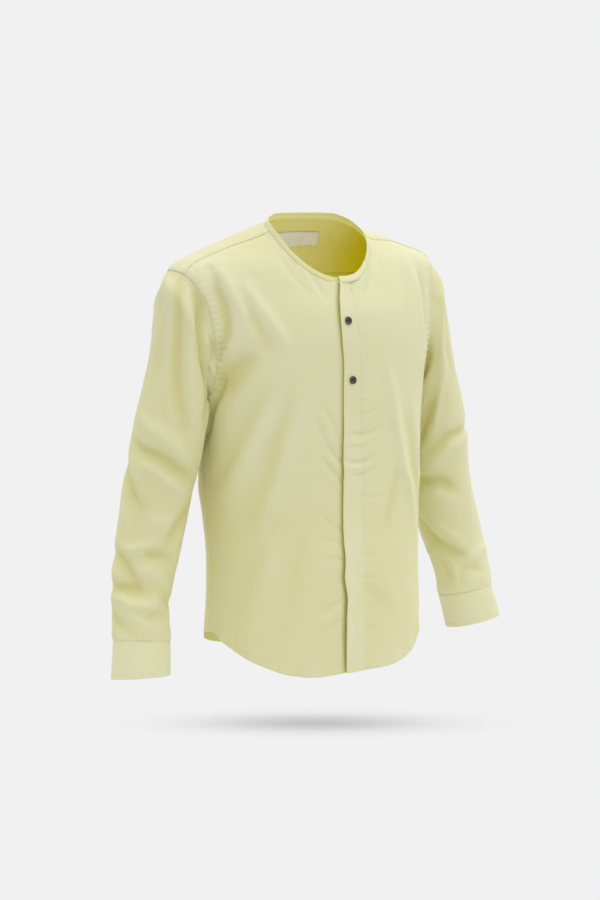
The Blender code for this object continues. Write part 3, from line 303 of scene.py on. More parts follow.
SLEEVE_STROKES_LEFT = (
    (.0090, -.0016, 0, ((52, .7, .3), (66, 1.5, .9), (84, 2.4, 1), (100, 3.4, .9), (112, 4.4, .4))),
    (.0085, -.0018, 0, ((44, 2.1, .3), (58, 3.3, 1), (68, 4.5, .8), (74, 5.4, .2))),
    (.0120, .0014, 0, ((24, 2.2, .3), (34, 3.5, 1), (44, 5.0, .7), (50, 6.0, .2))),
    (.0090, -.0050, 0, ((122, 1.39, .4), (132, 1.49, 1), (143, 1.58, 1), (165, 1.3, .5))),
    (.0060, .0030, 0, ((72, 2.8, .2), (85, 3.69, .8), (93, 4.48, 1), (103, 5.34, 1), (114, 6.18, .9), (122, 6.87, .3))),
    (.0110, -.0052, 0, ((116, 5.34, .3), (127, 6.04, .9), (138, 6.52, 1), (148, 7.07, 1), (156, 7.31, .4))),
    (.0090, -.0052, .3, ((26, 7.40, .3), (53, 7.31, .9), (74, 7.31, 1), (98, 7.31, 1), (116, 7.49, .8), (138, 7.67, .4))),
    (.0110, .0026, 0, ((69, 7.61, .3), (98, 7.67, 1), (122, 7.90, 1), (140, 8.07, .4))),
    (.0110, -.0056, .2, ((164, 8.44, .8), (146, 8.49, 1), (124, 8.54, 1), (109, 8.75, .9), (98, 8.96, .3))),
    (.0120, .0022, 0, ((154, 8.81, .3), (132, 8.96, 1), (114, 9.20, .8), (98, 9.45, .3))),
    (.0085, .0020, 0, ((161, 9.75, .3), (140, 10.13, 1), (122, 10.51, 1), (106, 10.90, .3))),
    (.0110, -.0052, .2, ((183, 9.81, .5), (169, 10.26, .9), (148, 10.71, 1), (127, 11.12, 1), (111, 11.46, .8), (98, 11.72, .3))),
    (.0085, .0034, 0, ((114, 11.76, .4), (98, 11.72, 1), (74, 11.63, 1), (50, 11.55, .6))),
    (.0050, -.0022, 0, ((124, 12.28, .4), (111, 12.06, 1), (90, 12.14, 1), (71, 12.40, .4))),
    (.0050, -.0022, 0, ((124, 12.52, .4), (109, 12.80, 1), (85, 12.88, 1), (71, 12.71, .4))),
    (.0060, .0016, 0, ((114, 12.48, .5), (101, 12.48, 1), (82, 12.48, .5))),
    (.0050, .0018, 0, ((135, 11.63, .3), (132, 12.14, 1), (132, 12.65, .6))),
    (.0070, -.0024, 0, ((159, 11.38, .4), (154, 11.97, 1), (151, 12.57, .5))),
    (.0100, .0016, 0, ((40, 8.6, .2), (58, 9.1, 1), (70, 9.8, .8), (76, 10.5, .2))),
    (.0220, .0020, 0, ((34, 5.4, .2), (36, 6.4, 1), (38, 7.4, 1.2), (36, 8.2, .3))),
    (.0220, .0024, 0, ((34, 9.6, .2), (34, 10.6, .8), (34, 11.6, 1.2), (34, 12.8, 1.2))),
    # hidden side
    (.0100, -.0040, .2, ((200, 6.85, .3), (228, 7.1, .9), (258, 7.2, 1), (288, 7.2, .8), (312, 7.1, .2))),
    (.0100, .0024, 0, ((204, 7.45, .3), (236, 7.65, 1), (270, 7.70, .8), (300, 7.8, .2))),
    (.0090, -.0028, 0, ((204, 8.05, .3), (236, 8.3, 1), (268, 8.3, .6), (294, 8.1, .2))),
    (.0090, -.0026, 0, ((216, 9.7, .3), (244, 10.0, 1), (276, 10.05, .8), (304, 9.9, .2))),
    (.0085, .0018, 0, ((216, 10.4, .3), (250, 10.65, 1), (284, 10.6, .3))),
    (.0085, -.0026, 0, ((208, 11.3, .3), (242, 11.4, 1), (276, 11.35, .7), (308, 11.2, .3))),
    (.0100, -.0020, 0, ((300, 1.7, .3), (290, 2.8, 1), (282, 4.0, .8), (276, 5.1, .2))),
    (.0110, .0018, 0, ((316, 1.8, .3), (308, 3.1, 1), (300, 4.5, .7), (296, 5.7, .2))),
    (.0110, -.0022, 0, ((264, 2.3, .3), (250, 3.3, 1), (238, 4.3, .7), (226, 5.1, .2))),
    (.0100, -.0020, 0, ((346, 6.4, .3), (4, 6.7, 1), (26, 6.95, .7), (44, 7.1, .2))),
    (.0090, -.0020, 0, ((330, 9.0, .3), (350, 9.3, 1), (14, 9.5, .7), (34, 9.6, .2))),
)


# ------------------------------------------------------------- small helpers
def blend_curve(xs, ys, x):
    """Smooth curve through a table's points with no overshoot."""
    xs, ys = np.asarray(xs, float), np.asarray(ys, float)
    x = np.asarray(x, float)
    h = np.diff(xs)
    d = np.diff(ys) / h
    m = np.zeros_like(ys)
    total = d[:-1] + d[1:]
    m[1:-1] = np.where(d[:-1] * d[1:] > 0, 2 * d[:-1] * d[1:] / np.where(total == 0, 1, total), 0)
    m[0], m[-1] = d[0], d[-1]
    i = np.clip(np.searchsorted(xs, x, side="right") - 1, 0, len(h) - 1)
    t = np.clip((x - xs[i]) / h[i], -0.5, 1.5)
    return ((2 * t**3 - 3 * t**2 + 1) * ys[i] + (t**3 - 2 * t**2 + t) * h[i] * m[i]
            + (-2 * t**3 + 3 * t**2) * ys[i + 1] + (t**3 - t**2) * h[i] * m[i + 1])


def ease(x, a, b):
    t = np.clip((np.asarray(x, float) - a) / (b - a), 0, 1)
    return t * t * (3 - 2 * t)


def unit(v):
    return v / np.maximum(np.linalg.norm(v, axis=-1, keepdims=True), 1e-12)


def column(table, k):
    return [row[k] for row in table]


LATTICE = np.random.default_rng(23).uniform(-1, 1, (48, 48, 48))


def noise(p, scale, seed=0):
    """Smooth value noise of unit height at points p."""
    q = np.asarray(p, float) / scale + np.array([3.7, 11.3, 7.9]) * (seed + 1)
    i = np.floor(q).astype(int)
    f = q - i
    f = f * f * f * (f * (6 * f - 15) + 10)
    out = 0.0
    for dx in (0, 1):
        wx = f[..., 0] if dx else 1 - f[..., 0]
        for dy in (0, 1):
            wy = f[..., 1] if dy else 1 - f[..., 1]
            for dz in (0, 1):
                wz = f[..., 2] if dz else 1 - f[..., 2]
                out = out + wx * wy * wz * LATTICE[(i[..., 0] + dx) % 48, (i[..., 1] + dy) % 48, (i[..., 2] + dz) % 48]
    return out


def ripple(s, length, seed=0.0):
    """Uneven run of puckers along a seam."""
    w = 2 * math.pi / length
    return (.55 * np.sin(w * s + 1.4 * np.sin(w * .13 * s + seed) + seed * 2)
            + .30 * np.sin(w * .63 * s + 2.1 * seed + 1.3)
            + .25 * np.sin(w * 1.61 * s + 1.7 * np.sin(w * .21 * s) + seed * 3)) * (.65 + .35 * np.sin(w * .097 * s + seed * 5))


DEEPER_BODY = 1.55             # the creases' heights above are scaled by these
DEEPER_BACK = 1.30             # and those of the back by this too
DEEPER_SLEEVE = 1.60


class Seam:
    """A polyline in space that gives distance and run at any points."""

    def __init__(self, pts, step=.0012):
        pts = np.asarray(pts, float)
        run = np.concatenate([[0], np.cumsum(np.linalg.norm(np.diff(pts, axis=0), axis=1))])
        n = max(int(run[-1] / step), 2)
        self.s = np.linspace(0, run[-1], n)
        self.p = np.stack([np.interp(self.s, run, pts[:, k]) for k in range(3)], -1)
        self.length = run[-1]

    def near(self, P, reach=.03):
        shape = P.shape[:-1]
        q = P.reshape(-1, 3)
        dist = np.full(len(q), 1.0)
        run = np.zeros(len(q))
        lo, hi = self.p.min(0) - reach, self.p.max(0) + reach
        idx = np.flatnonzero(((q > lo) & (q < hi)).all(1))
        for a in range(0, len(idx), 3000):
            sel = idx[a:a + 3000]
            d2 = ((q[sel, None, :] - self.p[None]) ** 2).sum(-1)
            j = d2.argmin(1)
            ja, jb = np.clip(j - 1, 0, len(self.p) - 2), np.clip(j, 0, len(self.p) - 2)
            best = np.full(len(sel), 1e9)
            bs = np.zeros(len(sel))
            for jj in (ja, jb):
                p0, p1 = self.p[jj], self.p[jj + 1]
                e = p1 - p0
                t = np.clip(((q[sel] - p0) * e).sum(-1) / np.maximum((e * e).sum(-1), 1e-18), 0, 1)
                d = np.linalg.norm(q[sel] - p0 - e * t[:, None], axis=-1)
                better = d < best
                best = np.where(better, d, best)
                bs = np.where(better, self.s[jj] + t * (self.s[jj + 1] - self.s[jj]), bs)
            dist[sel], run[sel] = best, bs
        return dist.reshape(shape), run.reshape(shape)


class Creases:
    """Soft troughs and ridges laid along given lines of a surface."""

    def __init__(self, rows, point, normal):
        self.rows = []
        for width, height, lean, pts in rows:
            a, b, k = (np.array([p[m] for p in pts], float) for m in range(3))
            a = np.degrees(np.unwrap(np.radians(a)))
            u = np.linspace(0, 1, len(pts))
            n = 70
            uu = np.linspace(0, 1, n)
            aa, bb, kk = blend_curve(u, a, uu), blend_curve(u, b, uu), blend_curve(u, k, uu)
            p = point(aa, bb)
            nrm = normal(aa, bb)
            t = unit(np.gradient(p, axis=0))
            self.rows.append((p, t, unit(np.cross(nrm, t)), kk, width, height, lean))

    def height(self, P):
        shape = P.shape[:-1]
        q = P.reshape(-1, 3)
        q = q + .0030 * np.stack([noise(q, .045, 31), noise(q, .045, 32), noise(q, .045, 33)], -1)
        out = np.zeros(len(q))
        for p, t, side, k, w, amp, lean in self.rows:
            reach = w * 4
            lo, hi = p.min(0) - reach, p.max(0) + reach
            idx = np.flatnonzero(((q > lo) & (q < hi)).all(1))
            for a in range(0, len(idx), 6000):
                sel = idx[a:a + 6000]
                d2 = ((q[sel, None, :] - p[None]) ** 2).sum(-1)
                j = d2.argmin(1)
                v = q[sel] - p[j]
                along = (v * t[j]).sum(-1)
                across = v - along[:, None] * t[j]
                d = np.linalg.norm(across, axis=-1)
                s = np.sign((across * side[j]).sum(-1))
                step = np.linalg.norm(p[1] - p[0]) * .6 + 1e-6
                over = np.where((j == 0) | (j == len(p) - 1), np.maximum(np.abs(along) - step, 0), 0)
                ww = w * (1 - lean * s)
                x = np.sqrt(d * d + over * over) / ww
                prof = 1.16 * np.exp(-np.abs(x) ** 1.8) - .16 * np.exp(-(x / 2.4) ** 2)
                out[sel] += amp * k[j] * prof
        return out.reshape(shape)


# --------------------------------------------------------- the body's surface
def section(depth):
    return [blend_curve(column(TORSO, 0), column(TORSO, k), depth) for k in range(1, 7)]


def on_body(phi, depth):
    phi, depth = np.broadcast_arrays(np.asarray(phi, float), np.asarray(depth, float))
    a, yf, ys, yb, nf, nb = section(depth)
    s, c = np.sin(phi), np.cos(phi)
    n = np.where(c > 0, nf, nb)
    reach = np.where(c > 0, ys - yf, yb - ys)
    x = a * np.sign(s) * np.abs(s) ** (2 / n)
    y = ys - reach * np.sign(c) * np.abs(c) ** (2 / n)
    return np.stack([x, y, -depth], -1)


def body_normal(phi, depth):
    phi, depth = np.broadcast_arrays(np.asarray(phi, float), np.asarray(depth, float))
    e = 6e-4
    n = unit(np.cross(on_body(phi + e, depth) - on_body(phi - e, depth),
                      on_body(phi, depth + e) - on_body(phi, depth - e)))
    p = on_body(phi, depth)
    out = p[..., 0] * n[..., 0] + (p[..., 1] - 0.02) * n[..., 1]
    return n * np.where(out < 0, -1.0, 1.0)[..., None]


BODY = Creases([(w, a * DEEPER_BODY * (DEEPER_BACK if abs(p[0][0]) > 105 else 1), l, p) for w, a, l, p in BODY_STROKES], lambda a, b: on_body(np.radians(a), b), lambda a, b: body_normal(np.radians(a), b))


def fold_height(P):
    """Creases and slow unevenness that every piece of the body shares."""
    low = ease(-P[..., 2], .012, .060)
    h = BODY.height(P)
    h = h + (.00075 * noise(P, .085, 1) + .00030 * noise(P, .036, 2)) * low + .00010 * noise(P, .015, 3)
    beside = ease(np.abs(P[..., 0]), .085, .105) * (1 - ease(np.abs(P[..., 0]), .130, .185))
    fuller = np.exp(-((np.abs(P[..., 0]) - .226) / .030) ** 2 - ((P[..., 2] + .086) / .024) ** 2)
    return h - .0020 * beside * (1 - ease(-P[..., 2], .030, .060)) + np.where(P[..., 0] > 0, .0100, .0060) * fuller


# how far the worn neck rises or sinks from the even one: degrees round the
# neck (0 front centre, + the wearer's left), metres
NECK_SETTLE = (
    (-180, .0022), (-165, .0014), (-150, -.0005), (-138, -.0032), (-125, -.0018), (-110, .0010),
    (-95, .0042), (-80, .0045), (-60, .0032), (-40, .0014), (-20, .0006), (0, 0), (10, -.0019),
    (20, -.0044), (32, -.0063), (50, -.0076), (70, -.0084), (85, -.0092), (100, -.0090),
    (115, -.0067), (130, -.0052), (142, -.0043), (152, -.0020), (165, .0006), (180, .0022))


def settle(P):
    u, v = P[..., 0] / NECK_HALF_WIDTH, (NECK_CENTRE_Y - P[..., 1]) / NECK_HALF_DEPTH
    turn = np.degrees(np.arctan2(u, v))
    away = np.abs(np.hypot(u, v) - 1) * .078
    dz = blend_curve(column(NECK_SETTLE, 0), column(NECK_SETTLE, 1), turn)
    q = P.copy()
    q[..., 2] += dz * np.exp(-(away / .045) ** 2) * (1 - ease(-P[..., 2], .120, .220))
    return q


def body_base(phi, depth):
    P = on_body(phi, depth)
    return P + body_normal(phi, depth) * fold_height(P)[..., None]


def phi_depth_over(x, y):
    x, y = np.asarray(x, float), np.asarray(y, float)
    lo, hi = np.full(x.shape, -.010), np.full(x.shape, .14)
    for _ in range(40):
        mid = (lo + hi) / 2
        a, yf, ys, yb, nf, nb = section(mid)
        front = y < ys
        n = np.where(front, nf, nb)
        reach = np.where(front, ys - yf, yb - ys)
        outside = np.abs(x / a) ** n + np.abs((y - ys) / reach) ** n > 1
        lo, hi = np.where(outside, mid, lo), np.where(outside, hi, mid)
    d = (lo + hi) / 2
    a, yf, ys, yb, nf, nb = section(d)
    front = y < ys
    s = np.clip(np.abs(x / a), 0, 1) ** (np.where(front, nf, nb) / 2)
    ph = np.arcsin(np.clip(s, 0, 1))
    ph = np.where(front, ph, math.pi - ph)
    return np.sign(np.where(x == 0, 1, x)) * ph, d


def phi_at_x(x, depth):
    a, yf, ys, yb, nf, nb = section(depth)
    return np.sign(x) * np.arcsin(np.clip(np.abs(x) / a, 0, 1) ** (nf / 2))


def neck_seam(psi):
    q = np.where(psi > math.pi, 2 * math.pi - psi, psi)
    ph, d = phi_depth_over(NECK_HALF_WIDTH * np.sin(q), NECK_CENTRE_Y - NECK_HALF_DEPTH * np.cos(q))
    return np.where(psi > math.pi, 2 * math.pi - ph, ph), d


def armhole_front(t):
    return (np.radians(90 - blend_curve(column(ARMHOLE, 0), column(ARMHOLE, 2), t)),
            blend_curve(column(ARMHOLE, 0), column(ARMHOLE, 1), t))


def armhole_back(t):
    return (np.radians(90 + blend_curve(column(ARMHOLE, 0), column(ARMHOLE, 3), t)),
            blend_curve(column(ARMHOLE, 0), column(ARMHOLE, 1), t))


def hem_depth(phi):
    deg = np.degrees(np.abs(phi))
    deg = np.where(deg > 180, 360 - deg, deg)
    return blend_curve(column(HEM, 0), column(HEM, 1), deg)


def along(curve, t):
    """Points of a (phi, depth) curve at shares t of its length."""
    curve = np.asarray(curve, float)
    p = on_body(curve[:, 0], curve[:, 1])
    run = np.concatenate([[0], np.cumsum(np.linalg.norm(np.diff(p, axis=0), axis=1))])
    t = np.asarray(t) * run[-1]
    return np.stack([np.interp(t, run, curve[:, 0]), np.interp(t, run, curve[:, 1])], -1)


def graded(n, length, first=0, last=0, zone=.0130):
    """n + 1 shares of a length, with some of them close together at its ends."""
    x, y = [0.0], [0.0]
    if first:
        x.append(first / n)
        y.append(zone / length)
    if last:
        x.append(1 - last / n)
        y.append(1 - zone / length)
    x.append(1.0)
    y.append(1.0)
    return np.interp(np.linspace(0, 1, n + 1), x, y)


def loft(top, bottom, first, last, u, v):
    """(phi, depth) grid between four seams; u and v are the shares."""
    u, v = u[None, :, None], v[:, None, None]
    return ((1 - v) * top[None] + v * bottom[None] + (1 - u) * first[:, None] + u * last[:, None]
            - ((1 - u) * (1 - v) * top[0] + u * (1 - v) * top[-1]
               + (1 - u) * v * bottom[0] + u * v * bottom[-1]))


def pinned(curve, start, end):
    k = np.linspace(0, 1, len(curve))[:, None]
    return curve + (1 - k) * (start - curve[0]) + k * (end - curve[-1])


def front_yoke_seam():
    k = np.linspace(0, 1, 60)
    kk = np.linspace(0, 1, len(FRONT_YOKE))
    curve = np.stack([np.radians(blend_curve(kk, column(FRONT_YOKE, 0), k)),
                      blend_curve(kk, column(FRONT_YOKE, 1), k)], -1)
    psi = np.radians(np.linspace(60, 110, 400))
    nph, nd = neck_seam(psi)
    i = int(np.argmin(np.abs(nd - FRONT_YOKE[0][1])))
    t = np.linspace(0, .3, 600)
    aph, ad = armhole_front(t)
    j = int(np.argmin((ad - FRONT_YOKE[-1][1]) ** 2 * 25 + (aph - math.radians(FRONT_YOKE[-1][0])) ** 2))
    kc = k[:, None]
    curve = (curve + (1 - kc) ** 3 * (np.array([nph[i], nd[i]]) - curve[0])
             + kc ** 3 * (np.array([aph[j], ad[j]]) - curve[-1]))
    return curve, psi[i], t[j]


YOKE_FRONT_CURVE, YOKE_PSI, YOKE_T_FRONT = front_yoke_seam()


def back_yoke_seam():
    def depth(ph):
        return YOKE_BACK_DEPTH - .004 * np.cos((ph - math.pi) * 1.2)
    t = np.linspace(0, .6, 1200)
    aph, ad = armhole_back(t)
    j = int(np.argmin(np.abs(ad - depth(aph)) + (aph < math.radians(100)) * 1.0))
    ph = np.linspace(aph[j], 2 * math.pi - aph[j], 121)
    d = depth(ph) + (ad[j] - depth(aph[j])) * np.abs((ph - math.pi) / (aph[j] - math.pi)) ** 4
    return np.stack([ph, d], -1), t[j]


YOKE_BACK_CURVE, YOKE_T_BACK = back_yoke_seam()


def side_seam():
    d1, d2 = ARMHOLE[-1][1], float(hem_depth(math.radians(SIDE_PHI[1])))
    d = np.linspace(d1, d2, 160)
    ph = SIDE_PHI[0] + (SIDE_PHI[1] - SIDE_PHI[0]) * ease((d - d1) / (d2 - d1), 0, .4)
    return np.stack([np.radians(ph), d], -1)


def mirror(curve):
    m = curve.copy()
    m[..., 0] = 2 * math.pi - m[..., 0]
    return m


def flip(curve):
    m = curve.copy()
    m[..., 0] = -m[..., 0]
    return m


def signed_neck(e, n=400):
    psi = np.linspace(YOKE_PSI, math.asin(e / NECK_HALF_WIDTH), n)
    ph, d = neck_seam(np.abs(psi))
    return np.stack([np.sign(psi) * np.abs(ph), d], -1)


def curve3(curve):
    return on_body(curve[:, 0], curve[:, 1])


def length3(curve):
    return float(np.linalg.norm(np.diff(curve3(np.asarray(curve)), axis=0), axis=1).sum())


# seams as space curves, on the smooth body
T_FINE = np.linspace(0, 1, 500)
ARM_FRONT_L = np.stack(armhole_front(T_FINE), -1)
ARM_BACK_L = np.stack(armhole_back(T_FINE), -1)
ARM_LOOP = np.concatenate([ARM_FRONT_L[::-1], ARM_BACK_L[1:]])
SIDE_L = side_seam()
HEM_PHI = np.linspace(-math.pi, math.pi, 1400)
HEM_CURVE = np.stack([HEM_PHI, hem_depth(HEM_PHI)], -1)
SEAMS = {
    "arm_left": Seam(curve3(ARM_LOOP)),
    "arm_right": Seam(curve3(flip(ARM_LOOP))),
    "side_left": Seam(curve3(SIDE_L)),
    "side_right": Seam(curve3(flip(SIDE_L))),
    "hem": Seam(curve3(HEM_CURVE)),
    "yoke_left": Seam(curve3(YOKE_FRONT_CURVE)),
    "yoke_right": Seam(curve3(flip(YOKE_FRONT_CURVE))),
    "yoke_back": Seam(curve3(YOKE_BACK_CURVE)),
}


def groove(d, at):
    return -.00016 * np.exp(-((d - at) / .0009) ** 2)


def seam_height(P, piece, side):
    """Felled seams, hems and their puckers: what each piece adds."""
    h = np.zeros(P.shape[:-1])
    arm = "arm_left" if side > 0 else "arm_right"
    arms = (arm,) if side else ("arm_left", "arm_right")
    for name in arms:
        d, s = SEAMS[name].near(P)
        low = ease(P[..., 2], -.075, -.115)           # stronger down the armhole
        h += (.00085 + .00010 * low) * (1 - ease(d, FELL_WIDTH - .0010, FELL_WIDTH + .0007))
        bars = .00115 * np.sin(2 * math.pi * s / .0094 + .9 * np.sin(s / .021)) * (.45 + .55 * low * (1 - ease(P[..., 2], -.150, -.130)))
        h += bars * (.8 + .2 * np.sin(s / .013)) * np.exp(-((d - FELL_WIDTH * .58) / .0052) ** 2)
        h += .00030 * ripple(s, .0128, 2.1) * ease(d, .008, .011) * (1 - ease(d, .012, .028))
        h += groove(d, .0014) + groove(d, FELL_WIDTH - .0013)
    if piece in ("front", "back"):
        sides = ("side_left",) if side > 0 else ("side_right",) if side < 0 else ("side_left", "side_right")
        for name in sides:
            d, s = SEAMS[name].near(P)
            if piece == "front":
                h += .00095 * (1 - ease(d, .0058, .0072)) + 2 * groove(d, .0050)
            h += .00040 * ripple(s, .0135, 4.2) * np.exp(-(d / .0090) ** 2)
        d, s = SEAMS["hem"].near(P)
        h += .00050 * (1 - ease(d, HEM_WIDTH - .0003, HEM_WIDTH + .0009)) + groove(d, HEM_WIDTH - .0013)
        h += .00050 * ripple(s, .0120, 7.7) * np.exp(-((d - HEM_WIDTH) / .0060) ** 2)
        h += (.00160 * ripple(s, .047, 3.3) + .0009 * np.sin(s / .031 + 1.0)) * (1 - ease(d, 0, .050))
    if piece == "front":
        name = "yoke_left" if side > 0 else "yoke_right"
        d, s = SEAMS[name].near(P)
        h += .00022 * ripple(s, .0120, 5.1) * np.exp(-(d / .0080) ** 2) - .0002 * np.exp(-(d / .0020) ** 2)
    if piece == "yoke":
        for name in ("yoke_left", "yoke_right", "yoke_back"):
            d, s = SEAMS[name].near(P)
            h += .00045 * (1 - ease(d, .0070, .0086)) + .5 * groove(d, .0015) + .6 * groove(d, .0062)
            h += .00016 * ripple(s, .0115, 6.4) * np.exp(-(d / .0090) ** 2)
    if piece == "back":
        d, s = SEAMS["yoke_back"].near(P)
        h += .00030 * ripple(s, .0145, 8.4) * np.exp(-(d / .0120) ** 2)
        h -= .0002 * np.exp(-(d / .0020) ** 2)
    return h


def stand_off(depth):
    return blend_curve(column(PLACKET, 0), column(PLACKET, 2), depth)


def free_edge(depth):
    return blend_curve(column(PLACKET, 0), column(PLACKET, 1), depth)


def sewn_edge(depth):
    return blend_curve(column(PLACKET_SEWN, 0), column(PLACKET_SEWN, 1), depth)


def placket_height(P, depth, side):
    """What the fronts do beside and under the placket."""
    x = P[..., 0]
    h = np.zeros(P.shape[:-1])
    if side < 0:
        e = free_edge(depth)
        h -= stand_off(depth) * .62 * ease(x, e - .0120, e + .0015)
    else:
        e = sewn_edge(depth)
        h += .00075 * ripple(depth, .0092, 9.1) * np.exp(-((x - e) / .0060) ** 2)
        h += .00035 * ripple(depth, .0210, 2.6) * np.exp(-((x - e - .006) / .0100) ** 2)
        h -= .0001 * np.exp(-((x - e) / .0016) ** 2)
    return h


# ------------------------------------------------------------- mesh building
COATS = {}
TRIANGLES = [0]


def trim(P, top, hem, first, last):
    """Draws each edge back by its own distance; minus tucks it under the next."""
    q = P.copy()
    q[0] += unit(P[1] - P[0]) * top
    q[-1] += unit(P[-2] - P[-1]) * hem
    r = q.copy()
    q[:, 0] += unit(r[:, 1] - r[:, 0]) * np.reshape(first, (-1, 1))
    q[:, -1] += unit(r[:, -2] - r[:, -1]) * np.reshape(last, (-1, 1))
    return q


def mesh_from_grid(name, P, inward, closed, coords):
    rows, cols = P.shape[:2]
    verts = P.reshape(-1, 3)
    i, j = np.meshgrid(np.arange(rows - 1), np.arange(cols if closed else cols - 1), indexing="ij")
    k = (j + 1) % cols
    quads = np.stack([i * cols + j, i * cols + k, (i + 1) * cols + k, (i + 1) * cols + j], -1).reshape(-1, 4)
    m = len(quads) // 2
    a, b, c = verts[quads[m][0]], verts[quads[m][1]], verts[quads[m][2]]
    if np.dot(np.cross(b - a, c - b), (a + b + c) / 3 - inward) < 0:
        quads = quads[:, ::-1]
    me = bpy.data.meshes.new(name)
    me.vertices.add(len(verts))
    me.vertices.foreach_set("co", verts.astype(np.float32).ravel())
    me.loops.add(quads.size)
    me.loops.foreach_set("vertex_index", quads.astype(np.int32).ravel())
    me.polygons.add(len(quads))
    me.polygons.foreach_set("loop_start", (np.arange(len(quads)) * 4).astype(np.int32))
    me.polygons.foreach_set("loop_total", np.full(len(quads), 4, np.int32))
    me.update(calc_edges=True)
    me.validate()
    me.shade_smooth()
    at = me.attributes.new("thread", "FLOAT_VECTOR", "POINT")
    at.data.foreach_set("vector", coords.astype(np.float32).reshape(-1, 3).ravel())
    return me, quads


def cloth(name, node, P, inward, coat, coords, closed=False, thick=CLOTH, stitched=True):
    """A thin shell on a grid of points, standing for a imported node."""
    me, quads = mesh_from_grid(name, P, np.asarray(inward, float), closed, coords)
    ob = bpy.data.objects.new(name, me)
    scene.collection.objects.link(ob)
    for m in COATS[coat]:
        me.materials.append(m)
    s = ob.modifiers.new("cloth", "SOLIDIFY")
    s.thickness = thick
    s.offset = -1
    s.use_even_offset = False
    s.use_quality_normals = True
    if len(COATS[coat]) > 1:
        s.material_offset = 1
        s.material_offset_rim = 0
    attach(ob, "root")
    if node:
        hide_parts(node)
    ob["quads"] = len(quads)
    return ob


# ---------------------------------------------------------------- materials
def nodes_of(m):
    m.use_nodes = True
    t = m.node_tree
    return t, t.nodes["Principled BSDF"]


def math_node(t, op, a, b=None):
    n = t.nodes.new("ShaderNodeMath")
    n.operation = op
    for k, v in enumerate((a, b)):
        if v is None:
            continue
        if isinstance(v, (int, float)):
            n.inputs[k].default_value = v
        else:
            t.links.new(v, n.inputs[k])
    return n.outputs[0]


